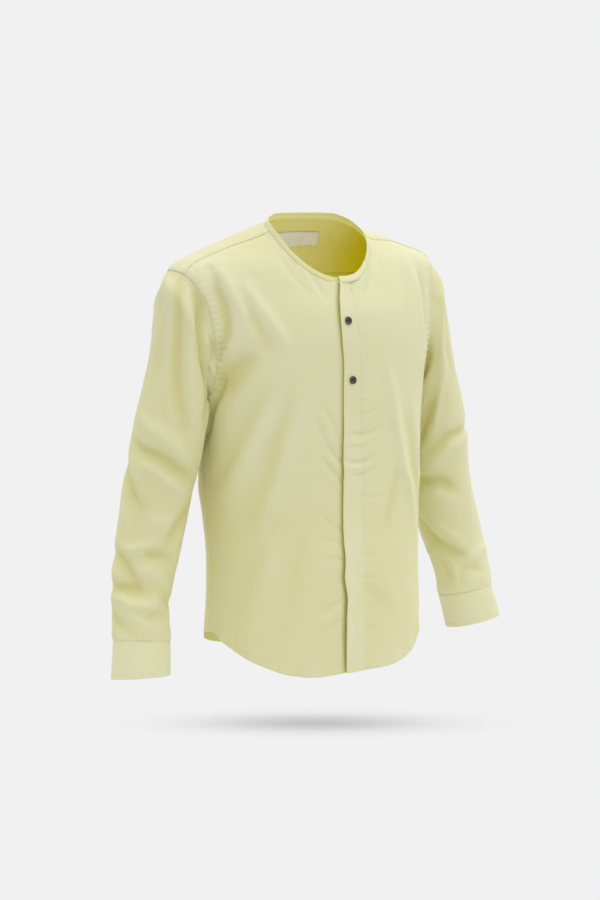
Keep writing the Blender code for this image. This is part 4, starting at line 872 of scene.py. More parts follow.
def woven(name, base, deep, rough=.82, sheen=.25, weave=.00042, slub=.35, specular=.28, painted_shade_x=None):
    """Plain-weave cloth: base colour, and the deeper colour used between threads
    and for painted shade; given two X values and a colour, a painted shade that
    turns the colour darker and more saturated from the one X to the other."""
    m = bpy.data.materials.new(name)
    t, b = nodes_of(m)
    L = t.links
    at = t.nodes.new("ShaderNodeAttribute")
    at.attribute_name = "thread"
    sep = t.nodes.new("ShaderNodeSeparateXYZ")
    L.new(at.outputs["Vector"], sep.inputs[0])
    # the attribute's third value is the share of painted shade laid on by each piece
    u, v, fold = sep.outputs[0], sep.outputs[1], sep.outputs[2]
    w = 2 * math.pi / weave
    su = math_node(t, "SINE", math_node(t, "MULTIPLY", u, w))
    sv = math_node(t, "SINE", math_node(t, "MULTIPLY", v, w))
    cross = math_node(t, "MULTIPLY", su, sv)
    # slubs: thin uneven threads both ways
    def streak(ku, kv, seed):
        c = t.nodes.new("ShaderNodeCombineXYZ")
        L.new(math_node(t, "MULTIPLY", u, ku), c.inputs[0])
        L.new(math_node(t, "MULTIPLY", v, kv), c.inputs[1])
        c.inputs[2].default_value = seed
        n = t.nodes.new("ShaderNodeTexNoise")
        n.inputs["Scale"].default_value = 1.0
        n.inputs["Detail"].default_value = 2.0
        n.inputs["Roughness"].default_value = .55
        L.new(c.outputs[0], n.inputs["Vector"])
        return n.outputs[0]
    warp, weft = streak(900, 55, 1.7), streak(48, 820, 4.1)
    mix = math_node(t, "ADD", warp, weft)
    geo = t.nodes.new("ShaderNodeTexCoord")
    big = t.nodes.new("ShaderNodeTexNoise")
    big.inputs["Scale"].default_value = 7.0
    big.inputs["Detail"].default_value = 3.0
    L.new(geo.outputs["Object"], big.inputs["Vector"])
    # share of the deeper colour: slubs, random tone and weave, plus the painted shade carried by the attribute
    a = math_node(t, "MULTIPLY", math_node(t, "SUBTRACT", mix, 1.0), .55 * slub)
    c2 = math_node(t, "MULTIPLY", math_node(t, "SUBTRACT", big.outputs[0], .5), .22)
    c3 = math_node(t, "MULTIPLY", cross, .06)
    f = math_node(t, "ADD", math_node(t, "ADD", a, c2), math_node(t, "ADD", c3, fold))
    f = math_node(t, "MINIMUM", math_node(t, "MAXIMUM", math_node(t, "ADD", f, .16), 0.0), 1.0)
    ramp = t.nodes.new("ShaderNodeMix")
    ramp.data_type = "RGBA"
    ramp.inputs[6].default_value = (*base, 1)
    ramp.inputs[7].default_value = (*deep, 1)
    L.new(f, ramp.inputs[0])
    colour = ramp.outputs[2]
    # painted shade: between two X values the colour turns darker and more saturated
    if painted_shade_x:
        place = t.nodes.new("ShaderNodeSeparateXYZ")
        L.new(geo.outputs["Object"], place.inputs[0])
        shade_ramp = t.nodes.new("ShaderNodeMapRange")
        shade_ramp.interpolation_type = "SMOOTHSTEP"
        shade_ramp.inputs["From Min"].default_value = painted_shade_x[0]
        shade_ramp.inputs["From Max"].default_value = painted_shade_x[1]
        L.new(place.outputs[0], shade_ramp.inputs["Value"])
        turn = t.nodes.new("ShaderNodeMix")
        turn.data_type = "RGBA"
        turn.inputs[7].default_value = (*painted_shade_x[2], 1)
        L.new(shade_ramp.outputs[0], turn.inputs[0])
        L.new(colour, turn.inputs[6])
        colour = turn.outputs[2]
    L.new(colour, b.inputs["Base Color"])
    r = math_node(t, "ADD", math_node(t, "MULTIPLY", math_node(t, "SUBTRACT", mix, 1.0), .12), rough)
    L.new(r, b.inputs["Roughness"])
    b.inputs["Specular IOR Level"].default_value = specular
    b.inputs["Sheen Weight"].default_value = sheen
    b.inputs["Sheen Roughness"].default_value = .45
    b.inputs["Sheen Tint"].default_value = (1.0, .98, .90, 1)
    height = math_node(t, "ADD", math_node(t, "MULTIPLY", cross, .35), math_node(t, "MULTIPLY", mix, 1.1))
    bump = t.nodes.new("ShaderNodeBump")
    bump.inputs["Strength"].default_value = .30
    bump.inputs["Distance"].default_value = .00010
    L.new(height, bump.inputs["Height"])
    L.new(bump.outputs[0], b.inputs["Normal"])
    m.diffuse_color = (*base, 1)
    return m


OUTER = woven("shirting", (.780, .768, .500), (.670, .630, .255))
# the inside face is a brighter, more saturated copy of the shirting, painted light standing for the light bounced and
# let through inside the shirt; it is also painted darker and more saturated toward the wearer's left (painted shade)
INNER = woven("shirting_inside", (.850, .810, .400), (.730, .685, .215), sheen=.05, specular=.12, painted_shade_x=(.060, .160, (.800, .720, .010)))
THREAD = woven("sewing_thread", (.800, .780, .500), (.700, .660, .300), rough=.6, sheen=.15, weave=.0003, slub=.6)
# the tape's bluish tint is painted in to cancel the yellow light bounced onto it inside the shirt
LABEL = woven("label_tape", (.840, .850, .950), (.770, .775, .850), rough=.55, sheen=.15, weave=.00034, slub=.5, specular=.4)
COATS["shirt"] = (OUTER, INNER)
COATS["label"] = (LABEL,)


def button_material():
    m = bpy.data.materials.new("button_resin")
    t, b = nodes_of(m)
    n = t.nodes.new("ShaderNodeTexNoise")
    g = t.nodes.new("ShaderNodeTexCoord")
    n.inputs["Scale"].default_value = 260
    n.inputs["Detail"].default_value = 4
    t.links.new(g.outputs["Object"], n.inputs["Vector"])
    mix = t.nodes.new("ShaderNodeMix")
    mix.data_type = "RGBA"
    mix.inputs[6].default_value = (.028, .026, .022, 1)
    mix.inputs[7].default_value = (.075, .068, .055, 1)
    t.links.new(math_node(t, "POWER", n.outputs[0], 2.4), mix.inputs[0])
    t.links.new(mix.outputs[2], b.inputs["Base Color"])
    r = math_node(t, "ADD", math_node(t, "MULTIPLY", n.outputs[0], .16), .22)
    t.links.new(r, b.inputs["Roughness"])
    b.inputs["Specular IOR Level"].default_value = .55
    b.inputs["Coat Weight"].default_value = .35
    b.inputs["Coat Roughness"].default_value = .15
    m.diffuse_color = (.03, .028, .024, 1)
    return m


BUTTON = button_material()
DARK_THREAD = woven("button_thread", (.050, .046, .038), (.022, .020, .016), rough=.7, sheen=.2, weave=.0003)


# ------------------------------------------------------------- body panels
def thread_coords(phi, depth, P, deep=None):
    """Thread directions in metres, and the share of painted shade at the point."""
    u = phi * .165
    return np.stack([u, depth, np.zeros_like(depth) if deep is None else deep], -1)


def painted_fold_shade(h, P, painted_shade=0.0):
    """Painted shade: cloth low in a fold gets more of the deeper colour and cloth on a ridge a little less (a faint
    painted highlight), plus the painted shade the caller adds.
    """
    low = np.clip(-h / .0045, -.35, 1.4) * .32
    return low + painted_shade


def front_piece(side, edge_x):
    e = side * edge_x
    neck = signed_neck(e)
    d = np.linspace(neck[-1, 1], float(hem_depth(phi_at_x(e, .717))), 400)
    centre = np.stack([phi_at_x(e, d), d], -1)
    arm = np.stack(armhole_front(np.linspace(YOKE_T_FRONT, 1, 400)), -1)
    seam = SIDE_L
    # rows: the yoke end and the hem end are finer
    n_arm, n_side = 116, 136
    n_neck = 50
    n_centre = n_arm + n_side - n_neck
    lh = .012
    first = np.concatenate([along(neck, graded(n_neck, length3(neck), 6, 0)),
                            along(centre, graded(n_centre, length3(centre), 0, 11, lh))[1:]])
    last = np.concatenate([along(arm, graded(n_arm, length3(arm), 6, 0)),
                           along(seam, graded(n_side, length3(seam), 0, 11, lh))[1:]])
    nu = 84
    u = graded(nu, .25, 4, 15, .0150)
    top = pinned(along(YOKE_FRONT_CURVE, graded(nu, length3(YOKE_FRONT_CURVE), 4, 15, .0150)), first[0], last[0])
    ph = np.linspace(first[-1, 0], last[-1, 0], 400)
    hem = np.stack([ph, hem_depth(ph)], -1)
    bottom = pinned(along(hem, graded(nu, length3(hem), 4, 15, .0150)), first[-1], last[-1])
    v = np.linspace(0, 1, n_arm + n_side + 1)
    g = loft(top, bottom, first, last, u, v)
    if side < 0:
        g[..., 0] *= -1
    return g


def displaced(phi, depth, piece, side):
    P = on_body(phi, depth)
    h = fold_height(P) + seam_height(P, piece, side)
    if piece == "front":
        h = h + placket_height(P, depth, side)
    return P + body_normal(phi, depth) * h[..., None], h, P


def back_piece():
    arm = np.stack(armhole_back(np.linspace(YOKE_T_BACK, 1, 400)), -1)
    n_arm, n_side = 76, 140
    first = np.concatenate([along(arm, graded(n_arm, length3(arm), 5, 0)),
                            along(SIDE_L, graded(n_side, length3(SIDE_L), 0, 11, .012))[1:]])
    last = mirror(first)
    nu = 158
    top = pinned(along(YOKE_BACK_CURVE, graded(nu, length3(YOKE_BACK_CURVE), 13, 13, .0140)), first[0], last[0])
    ph = np.linspace(first[-1, 0], last[-1, 0], 600)
    hem = np.stack([ph, hem_depth(ph)], -1)
    bottom = pinned(along(hem, graded(nu, length3(hem), 13, 13, .0140)), first[-1], last[-1])
    v = np.linspace(0, 1, n_arm + n_side + 1)
    return loft(top, bottom, first, last, graded(nu, .5, 13, 13, .0140), v)


def yoke_piece():
    na, nb, nu = 46, 150, 64
    a = np.stack(armhole_front(np.linspace(YOKE_T_FRONT, 0, 300)), -1)
    b = np.stack(armhole_back(np.linspace(0, YOKE_T_BACK, 300)), -1)
    arm = along(np.concatenate([a, b[1:]]), graded(na, .12, 7, 7, .009))
    back = along(YOKE_BACK_CURVE, graded(nb, .45, 10, 10, .014))
    back[0] = arm[-1]
    arm_right = mirror(arm)[::-1].copy()
    back[-1] = arm_right[0]
    outer = np.concatenate([arm, back[1:-1], arm_right])
    turn = math.radians(132)
    i1 = along(np.stack(neck_seam(np.linspace(YOKE_PSI, turn, 400)), -1), np.linspace(0, 1, na + 1))
    i2 = along(np.stack(neck_seam(np.linspace(turn, 2 * math.pi - turn, 400)), -1), np.linspace(0, 1, nb + 1))
    i3 = mirror(i1)[::-1].copy()
    inner = np.concatenate([i1, i2[1:-1], i3])
    u = graded(nu, .13, 4, 15, .0150)
    end = pinned(along(YOKE_FRONT_CURVE, u), inner[0], outer[0])
    v = np.linspace(0, 1, len(inner))
    return loft(end, mirror(end), inner, outer, u, v)


SURFACE = {}


def panel(name, g, piece, side):
    P, h, P0 = displaced(g[..., 0], g[..., 1], piece, side)
    if piece == "front":
        P = trim(P, -.0016, 0, 0, 0)
    elif piece == "back":
        below = -.0018 * ease(g[:, 0, 1], .271, .275)
        P = trim(P, -.0016, 0, below, below)
    painted_shade = 0.0
    deg = np.degrees(np.arctan2(np.sin(g[..., 0]), np.cos(g[..., 0])))
    # painted shade: deeper colour under the arm and in the armpit, and more of it lower on the body
    if piece != "yoke":
        under = np.exp(-((np.abs(deg) - 90) / 32) ** 2) * ease(g[..., 1], .15, .30) * (1 - .6 * ease(g[..., 1], .42, .66))
        armpit_shade = np.exp(-((np.abs(deg) - 88) / 11) ** 2 - ((g[..., 1] - .288) / .024) ** 2)
        painted_shade = .28 * under + .20 * ease(g[..., 1], .28, .50) + .26 * armpit_shade
    if name == "front_right":
        # painted shade: deeper colour in the gap beside the placket's free edge, and a patch beside the right armhole
        e = free_edge(g[..., 1])
        placket_gap_shade = .40 + .40 * ease(g[..., 1], .25, .48)
        painted_shade = painted_shade + placket_gap_shade * ease(P0[..., 0], e - .0080, e - .0010)
        painted_shade = painted_shade + .30 * np.exp(-((deg + 65) / 9) ** 2 - ((g[..., 1] - .232) / .030) ** 2)
    coords = thread_coords(np.radians(deg), g[..., 1], P0, painted_fold_shade(h, P0, painted_shade))
    P = settle(P)
    SURFACE[name] = P
    return cloth(name + "_cloth", name, P, (0, .02, -.4), "shirt", coords)


panel("front_right", front_piece(-1, STAND_EDGE_X), "front", -1)
panel("front_left", front_piece(1, LEFT_FRONT_X), "front", 1)
panel("back", back_piece(), "back", 0)
panel("yoke", yoke_piece(), "yoke", 0)


# ------------------------------------------------------------------ sleeves
def arm_frame(tilt_out, tilt_fwd):
    to, tf = math.radians(tilt_out), math.radians(tilt_fwd)
    down = np.array([math.sin(to) * math.cos(tf), -math.sin(tf), -math.cos(to) * math.cos(tf)])
    across = np.array([math.cos(to), 0, math.sin(to)])
    fore = np.cross(down, across)
    fore /= np.linalg.norm(fore)
    if fore[1] > 0:
        fore = -fore
    return down, across, fore


def arm_ring(row, ang, out=0.0):
    x, y, d, to, tf, p, q, n = row
    _, across, fore = arm_frame(to, tf)
    c, s = np.cos(ang), np.sin(ang)
    cc = np.sign(c) * np.abs(c) ** (2 / n)
    ss = np.sign(s) * np.abs(s) ** (2 / n)
    out = np.broadcast_to(np.asarray(out, float), np.shape(ang))
    return (np.array([x, y, -d]) + (cc * (p + out))[:, None] * across
            + (ss * (q + out))[:, None] * fore)


SLEEVE_COUNT = 136


def sleeve_rings(side):
    ang = np.linspace(0, 2 * math.pi, SLEEVE_COUNT, endpoint=False)
    t = np.where(ang <= math.pi, ang / math.pi, 2 - ang / math.pi)
    fph, fd = armhole_front(t)
    bph, bd = armhole_back(t)
    ph = np.where(ang <= math.pi, fph, bph)
    d = np.where(ang <= math.pi, fd, bd)
    start = on_body(ph, d)
    side_ph = ph if side > 0 else -ph
    real = on_body(side_ph, d)
    real = real + body_normal(side_ph, d) * fold_height(real)[:, None]
    if side < 0:
        real = real * np.array([-1, 1, 1])
    shift = real - start
    k = .12
    ahead = on_body(ph + (math.pi / 2 - ph) * k, d + (.18 - d) * k)
    along_body = unit(ahead - start)
    along_arm = unit(arm_ring(SLEEVE[0], ang) - start)
    w = ease(np.abs(np.cos(ang / 2)), .15, .55)[:, None]
    way = unit(along_body * w + along_arm * (1 - w))
    clear = body_normal(ph, d) * (1 - w)
    turn = np.degrees(ang)
    turn = np.where(turn > 180, 360 - turn, turn)
    head = np.exp(-(turn / 46.0) ** 2)[:, None]
    way = unit(way * (1 - head) + unit(np.array([.66, 0, -.75])) * head)
    rings = [start + shift - way * .0016 - body_normal(ph, d) * .0001 * w,
             start + shift + way * (.008 * w + .0015 * (1 - w)) + clear * .0018]
    end = SLEEVE[-1] if side > 0 else SLEEVE_END_RIGHT
    rings += [arm_ring(r, ang) for r in SLEEVE[:-1] + (end,)]
    return ang, np.array(rings)


def through(rings, at):
    k = len(rings)
    run = np.maximum(np.linalg.norm(np.diff(rings, axis=0), axis=2), 1e-6)[..., None]
    chord = np.diff(rings, axis=0) / run
    slope = np.zeros_like(rings)
    slope[1:-1] = (chord[:-1] * run[1:] + chord[1:] * run[:-1]) / (run[:-1] + run[1:])
    slope[0], slope[-1] = chord[0], chord[-1]
    out = []
    for s in at:
        i = min(int(s), k - 2)
        t = s - i
        out.append((2 * t**3 - 3 * t**2 + 1) * rings[i] + (t**3 - 2 * t**2 + t) * run[i] * slope[i]
                   + (-2 * t**3 + 3 * t**2) * rings[i + 1] + (t**3 - t**2) * run[i] * slope[i + 1])
    return np.array(out)


def grid_normals(P, closed):
    du = np.roll(P, -1, 1) - np.roll(P, 1, 1)
    if not closed:
        du[:, 0] = P[:, 1] - P[:, 0]
        du[:, -1] = P[:, -1] - P[:, -2]
    dv = np.gradient(P, axis=0)
    return unit(np.cross(du, dv))


def sleeve_piece(side, strokes):
    ang, rings = sleeve_rings(side)
    n = len(rings) - 1
    fine = np.linspace(0, n, 900)
    dense = through(rings, fine)
    step = np.linalg.norm(np.diff(dense, axis=0), axis=2).mean(1)
    run = np.concatenate([[0], np.cumsum(step)])
    rows = 172
    share = graded(rows, run[-1], 12, 12, .013)
    at = np.interp(share * run[-1], run, fine)
    P = through(rings, at)
    if side < 0:
        P = P * np.array([-1, 1, 1])
        dense = dense * np.array([-1, 1, 1])
    centre = P.mean(1, keepdims=True)
    N = grid_normals(P, True)
    N *= np.sign((N * (P - centre)).sum(-1).mean())
    ND = grid_normals(dense, True)
    ND *= np.sign((ND * (dense - dense.mean(1, keepdims=True))).sum(-1).mean())

    def pick(field):
        def at_point(a, s):
            col = (np.asarray(a) % 360) / 360 * SLEEVE_COUNT
            row = np.clip(np.asarray(s) / n * 899, 0, 898.999)
            c0 = np.floor(col).astype(int)
            r0 = np.floor(row).astype(int)
            fc, fr = (col - c0)[:, None], (row - r0)[:, None]
            c0 %= SLEEVE_COUNT
            c1 = (c0 + 1) % SLEEVE_COUNT
            return ((field[r0, c0] * (1 - fc) + field[r0, c1] * fc) * (1 - fr)
                    + (field[r0 + 1, c0] * (1 - fc) + field[r0 + 1, c1] * fc) * fr)
        return at_point
    crease = Creases([(w, a * DEEPER_SLEEVE, l, p) for w, a, l, p in strokes], pick(dense), pick(ND))
    q = P + np.array([.7, .3, .1]) * (1 + side)           # each sleeve has its own unevenness
    h = crease.height(P)
    h = h + .00090 * noise(q, .060, 4) + .00040 * noise(q, .028, 5) + .00012 * noise(q, .013, 6)
    fade = ease(at, .0, 1.6)[:, None] * (1 - ease(at, n - .75, n - .02)[:, None] * .85)
    h = h * fade
    # ease at the cap, gathers at the cuff, felled seam under the arm
    arm = SEAMS["arm_left" if side > 0 else "arm_right"]
    d, s = arm.near(P, .04)
    upper = .5 + .5 * np.cos(ang)[None, :]
    h += .00028 * ripple(s, .0118, 3.7) * np.exp(-((d - .005) / .0070) ** 2) * (.4 + .6 * upper)
    left = (run[-1] - share * run[-1])[:, None]
    arc = ang[None, :] * .0435
    h += (.00110 * ripple(arc, .0165, 5.5 + side) + .0006 * np.sin(arc / .0062 + side)) * np.exp(-(left / .022) ** 2) * ease(left, .0010, .006)
    h += .0014 * np.exp(-((left - .012) / .012) ** 2) * ease(left, .0, .005) - .0003 * np.exp(-(left / .0016) ** 2)
    seam_at = math.radians(186)
    sd = (ang[None, :] - seam_at) * .055
    h += .0005 * (1 - ease(np.abs(sd - .003), .0035, .0045)) * ease(at, .6, 1.6)[:, None]
    h += .0003 * ripple(share[:, None] * run[-1], .0125, 6.0) * np.exp(-((sd - .003) / .008) ** 2)
    P = P + N * h[..., None]
    name = "sleeve_left" if side > 0 else "sleeve_right"
    SURFACE[name] = P
    # painted shade: deeper colour on the sleeve's side toward the body, more on the right sleeve, and a patch on the
    # right sleeve beside the armhole
    sleeve_shade = .30 * np.exp(-((np.degrees(ang)[None, :] - 165) / 52) ** 2) * (1 - .5 * ease(at, 5, 9)[:, None]) * ease(at, 1.0, 2.5)[:, None]
    sleeve_shade = sleeve_shade + (.10 if side > 0 else .16 + .08 * ease(at, 4, 9)[:, None])
    if side < 0:
        sleeve_shade = sleeve_shade + .26 * np.exp(-((np.degrees(ang)[None, :] - 106) / 15) ** 2 - ((at[:, None] - 2.3) / .9) ** 2)
    coords = np.stack([np.broadcast_to(arc * 1.25, h.shape), np.broadcast_to((share * run[-1])[:, None], h.shape),
                       painted_fold_shade(h, P, sleeve_shade)], -1)
    cloth(name + "_cloth", name, P, P[len(P) // 2].mean(0), "shirt", coords, closed=True)
    return ang, at


SLEEVE_ANG, SLEEVE_AT = sleeve_piece(-1, SLEEVE_STROKES_RIGHT)
sleeve_piece(1, SLEEVE_STROKES_LEFT)


# -------------------------------------------------------------------- cuffs
def cuff_surface(side, deg, k):
    """Point of the cuff's outer face: degrees round the wrist, share of its
    height from the sleeve seam (0) to the edge (1), on the wearer's left."""
    table = np.array(CUFF if side > 0 else CUFF_RIGHT)
    row = [blend_curve((0, .5, 1), table[:, m], k) for m in range(table.shape[1])]
    lap = .0019 * ease(deg, CUFF_START + 322, CUFF_START + 352)
    return arm_ring(row, np.radians(deg), lap)


def cuff_piece(side):
    n = 150
    deg = np.linspace(CUFF_START, CUFF_START + 360 + CUFF_LAP, n + 1)
    height = .0540
    outer = graded(24, height, 5, 5, .005)
    rows, ks = [], []
    seed = np.array([.4, .9, .2]) * (2 + side)
    for k in outer:
        ring = cuff_surface(side, deg, k)
        rows.append(ring)
        ks.append(k)
    ring = np.array(rows)
    N = grid_normals(ring, False)
    c = ring.mean((0, 1))
    N *= np.sign((N * (ring - c)).sum(-1).mean())
    arc = np.radians(deg) * .0435
    kk = np.array(ks)[:, None]
    h = .00055 * noise(ring + seed, .040, 7) + .00018 * noise(ring + seed, .014, 8)
    h += .00035 * ripple(arc[None, :], .0125, 2.2 + side) * np.exp(-((kk * height - .0015) / .0050) ** 2)
    h += .00022 * ripple(arc[None, :], .0140, 4.4) * np.exp(-(((1 - kk) * height - .005) / .0045) ** 2)
    h += groove(kk * height, .0018) + groove((1 - kk) * height, .0052)
    h += .00015
    ring = ring + N * h[..., None]
    # the top edge stands over the sleeve; the lower edge folds inside
    up = unit(ring[0] - ring[1])
    ring[0] = ring[0] + up * .0012 - N[0] * .0003
    down = unit(ring[-1] - ring[-2])
    r = .00085
    turn = [ring[-1] - N[-1] * (r - r * math.cos(a)) + down * r * math.sin(a) for a in np.radians((35, 75, 115, 150, 180))]
    inner = [ring[i] - N[i] * 2 * r for i in range(len(outer) - 2, 1, -2)]
    P = np.concatenate([ring, np.array(turn), np.array(inner)])
    run = np.concatenate([[0], np.cumsum(np.linalg.norm(np.diff(P, axis=0), axis=2).mean(1))])
    if side < 0:
        P = P * np.array([-1, 1, 1])
    name = "cuff_left" if side > 0 else "cuff_right"
    SURFACE[name] = P[:len(outer)]
    coords = np.stack([np.broadcast_to(arc[None, :], P.shape[:2]), np.broadcast_to(run[:, None], P.shape[:2]),
                       np.zeros(P.shape[:2])], -1)
    # painted shade: the cuff's turned-in layer takes more of the deeper colour
    coords[len(outer) + 5:, :, 2] = .35
    middle = P[len(outer) // 2].mean(0)
    cloth(name + "_cloth", name, P, middle, "shirt", coords, thick=.00055)
    return N


cuff_piece(-1)
cuff_piece(1)


# ---------------------------------------------------------------- neck band
def neck_point(w):
    """Neck seam at w: 0 front centre, minus toward the wearer's right."""
    q = (np.asarray(w, float) + math.pi) % (2 * math.pi) - math.pi
    ph, d = neck_seam(np.abs(q))
    ph = np.where(q < 0, -ph, ph)
    P = on_body(ph, d)
    return P, ph, d


def band_piece():
    w0 = math.asin(STAND_EDGE_X / NECK_HALF_WIDTH)
    w1 = -2 * math.pi + math.asin(float(free_edge(np.array(.090))) / NECK_HALF_WIDTH)
    n = 236
    w = np.linspace(w0, w1, n + 1)
    base, ph, d = neck_point(w)
    base = base + body_normal(ph, d) * fold_height(base)[:, None]
    out = unit(np.stack([base[:, 0] / NECK_HALF_WIDTH ** 2, (base[:, 1] - NECK_CENTRE_Y) / NECK_HALF_DEPTH ** 2,
                         np.zeros(len(base))], -1))
    front = np.clip(-(base[:, 1] - NECK_CENTRE_Y) / NECK_HALF_DEPTH, 0, 1)
    lean = np.radians(24 + 12 * front)[:, None]
    up = np.array([0, 0, 1.0])
    rise = -out * np.sin(lean) + up * np.cos(lean)
    face = out * np.cos(lean) + up * np.sin(lean)
    run = np.concatenate([[0], np.cumsum(np.linalg.norm(np.diff(base, axis=0), axis=1))])
    left_over = run[-1] - run
    lift = .0001 + (PLACKET_LIFT + .0003) * (1 - ease(left_over, .030, .055))
    lift = lift - .0014 * (1 - ease(run, .020, .040))         # right end lies under
    q = base
    wave = .00030 * ripple(run, .019, 1.1) + .00045 * noise(q, .030, 9)
    r = .00062
    H = BAND_HEIGHT
    section_pts = [(-.0022, -r), (-.0012, -.0001), (-.0002, r - .0001), (.0012, r), (.0028, r),
                   (.0052, r + .0001), (.0074, r), (H - r, r)]
    section_pts += [(H - r + r * math.sin(a), r * math.cos(a)) for a in np.radians((35, 70, 110, 145))]
    section_pts += [(H - r, -r), (.0072, -r), (.0050, -r), (.0028, -r), (.0012, -r - .0001), (-.0002, -r - .0002),
                    (-.0014, -r - .0002)]
    sec = np.array(section_pts)
    P = []
    for k, (a, f) in enumerate(sec):
        side_wave = wave * (1 if f > 0 else -.2) * math.exp(-((a - .002) / .004) ** 2)
        P.append(base + face * (lift + f + side_wave)[:, None] + rise * a
                 + rise * (.00035 * noise(q, .05, 12))[:, None])
    P = settle(np.array(P))
    run_a = np.concatenate([[0], np.cumsum(np.linalg.norm(np.diff(sec, axis=0), axis=1))])
    # painted shade: the band's outer face takes more of the deeper colour near the front centre, its inside a little,
    # and more toward the wearer's left; a painted highlight lightens the inside's lower edge
    coords = np.stack([np.broadcast_to(run[None, :], P.shape[:2]), np.broadcast_to(run_a[:, None], P.shape[:2]),
                       np.where(np.arange(len(sec))[:, None] > 11, .10, .60 * np.exp(-(w / 1.1) ** 2)[None, :]) * np.ones(P.shape[:2])], -1)
    coords[-4:, :, 2] = -.25
    coords[10:, :, 2] += .60 * ease(P[10:, :, 0], .025, .080)
    mid = P.shape[1] // 2
    inward = P[8, mid] + np.array([0, -.03, -.0])
    SURFACE["neck_band"] = P[:8]
    # face it out by the outer wall's own direction
    probe = P[4, mid] - face[mid] * .01
    ob = cloth("neck_band_cloth", "neck_band", P, (0, 0, 0), "shirt", coords, thick=.00050)
    me = ob.data
    me.polygons.foreach_set("material_index", np.repeat((np.arange(len(sec) - 1) >= 10).astype(np.int32), P.shape[1] - 1))
    i = 4 * P.shape[1] + mid
    me.update()
    nrm = np.array(me.vertices[i].normal)
    if np.dot(nrm, face[mid]) < 0:
        me.flip_normals()
    return w, base, rise, face, run, lift


BAND = band_piece()


# ------------------------------------------------------------------ placket
def placket_piece():
    top_d = float(neck_seam(np.array([.02]))[1][0])
    n = 262
    k = graded(n, .62, 4, 9, .010)
    t = graded(24, .036, 5, 6, .005)
    D = np.zeros((n + 1, len(t)))
    X = np.zeros_like(D)
    for j, tj in enumerate(t):
        d0 = top_d + (.7170 - top_d) * k
        x = free_edge(d0) * (1 - tj) + sewn_edge(d0) * tj
        seam = neck_seam(np.abs(np.arcsin(x / NECK_HALF_WIDTH)))[1]
        seam0 = float(neck_seam(np.array([abs(math.asin(float(x[0]) / NECK_HALF_WIDTH))]))[1][0]) - .0006
        end = float(hem_depth(phi_at_x(x[-1], .717)))
        D[:, j] = seam0 + (end - seam0) * k
        X[:, j] = free_edge(D[:, j]) * (1 - tj) + sewn_edge(D[:, j]) * tj
    ph = phi_at_x(X, D)
    P0 = on_body(ph, D)
    N = body_normal(ph, D)
    tt = t[None, :]
    base = fold_height(P0)
    off = stand_off(D)
    h = base + .0011 + off * .38 * (1 - ease(tt, 0, .62)) + .0005 * (1 - ease(tt, .55, .96)) - .0007 * ease(tt, .93, 1)
    h += .00065 * ripple(D, .0092, 9.1) * np.exp(-((1 - tt) * .036 / .0075) ** 2)
    h += .00030 * ripple(D, .0260, 4.0) * (1 - ease(tt, .0, .6)) + .00045 * noise(P0, .030, 10)
    h += groove((1 - tt) * .036, .0022) * 1.3
    end = 1 - ease(k, .93, 1.0)[:, None] * .0
    hem_d = (1 - k)[:, None] * .62
    h += .0003 * (1 - ease(hem_d, .0058, .0070)) * end + groove(hem_d, .0048)
    d_hem, s_hem = SEAMS["hem"].near(P0)
    h += (.00160 * ripple(s_hem, .047, 3.3) + .0009 * np.sin(s_hem / .031 + 1.0)) * (1 - ease(d_hem, 0, .050))
    P = P0 + N * h[..., None]
    # the free edge is a fold: turn it under and run back behind
    outward = unit(P[:, 0] - P[:, 1])
    r = .00080
    turn = [P[:, 0] - N[:, 0] * (r - r * math.cos(a)) + outward * r * math.sin(a) for a in np.radians((180, 145, 110, 75, 35))]
    under = [P[:, j] - N[:, j] * 2 * r for j in (12, 9, 6, 4, 2)]
    G = np.concatenate([np.stack(under, 1), np.stack(turn, 1), P], 1)
    u = np.concatenate([[0], np.cumsum(np.linalg.norm(np.diff(G, axis=1), axis=2).mean(0))])
    # painted shade: fold shade on the placket, a little deeper all over, and the turned-under edge in the full deeper
    # colour for the shade in the gap under it
    deep = np.broadcast_to(painted_fold_shade(h - .0015, P0), h.shape)
    P, G = settle(P), settle(G)
    coords = np.zeros(G.shape)
    coords[..., 0] = u[None, :]
    coords[..., 1] = np.concatenate([D[:, :1]] * 10 + [D], 1)
    coords[:, 10:, 2] = deep
    coords[:, :10, 2] = 1.0
    SURFACE["placket"] = P
    ob = cloth("placket_cloth", "placket", G, (0, .02, -.4), "shirt", coords, thick=.00060)
    me = ob.data
    # the turned-under strip takes the inside coat, a painted more saturated colour in the shade under the edge
    inner = (np.arange(G.shape[1] - 1) < 9).astype(np.int32)
    me.polygons.foreach_set("material_index", np.tile(inner, G.shape[0] - 1))
    me.update()
    i = 130 * G.shape[1] + 22
    if np.dot(np.array(me.vertices[i].normal), N[130, 12]) < 0:
        me.flip_normals()
    return P, N


PLACKET_GRID, PLACKET_N = placket_piece()


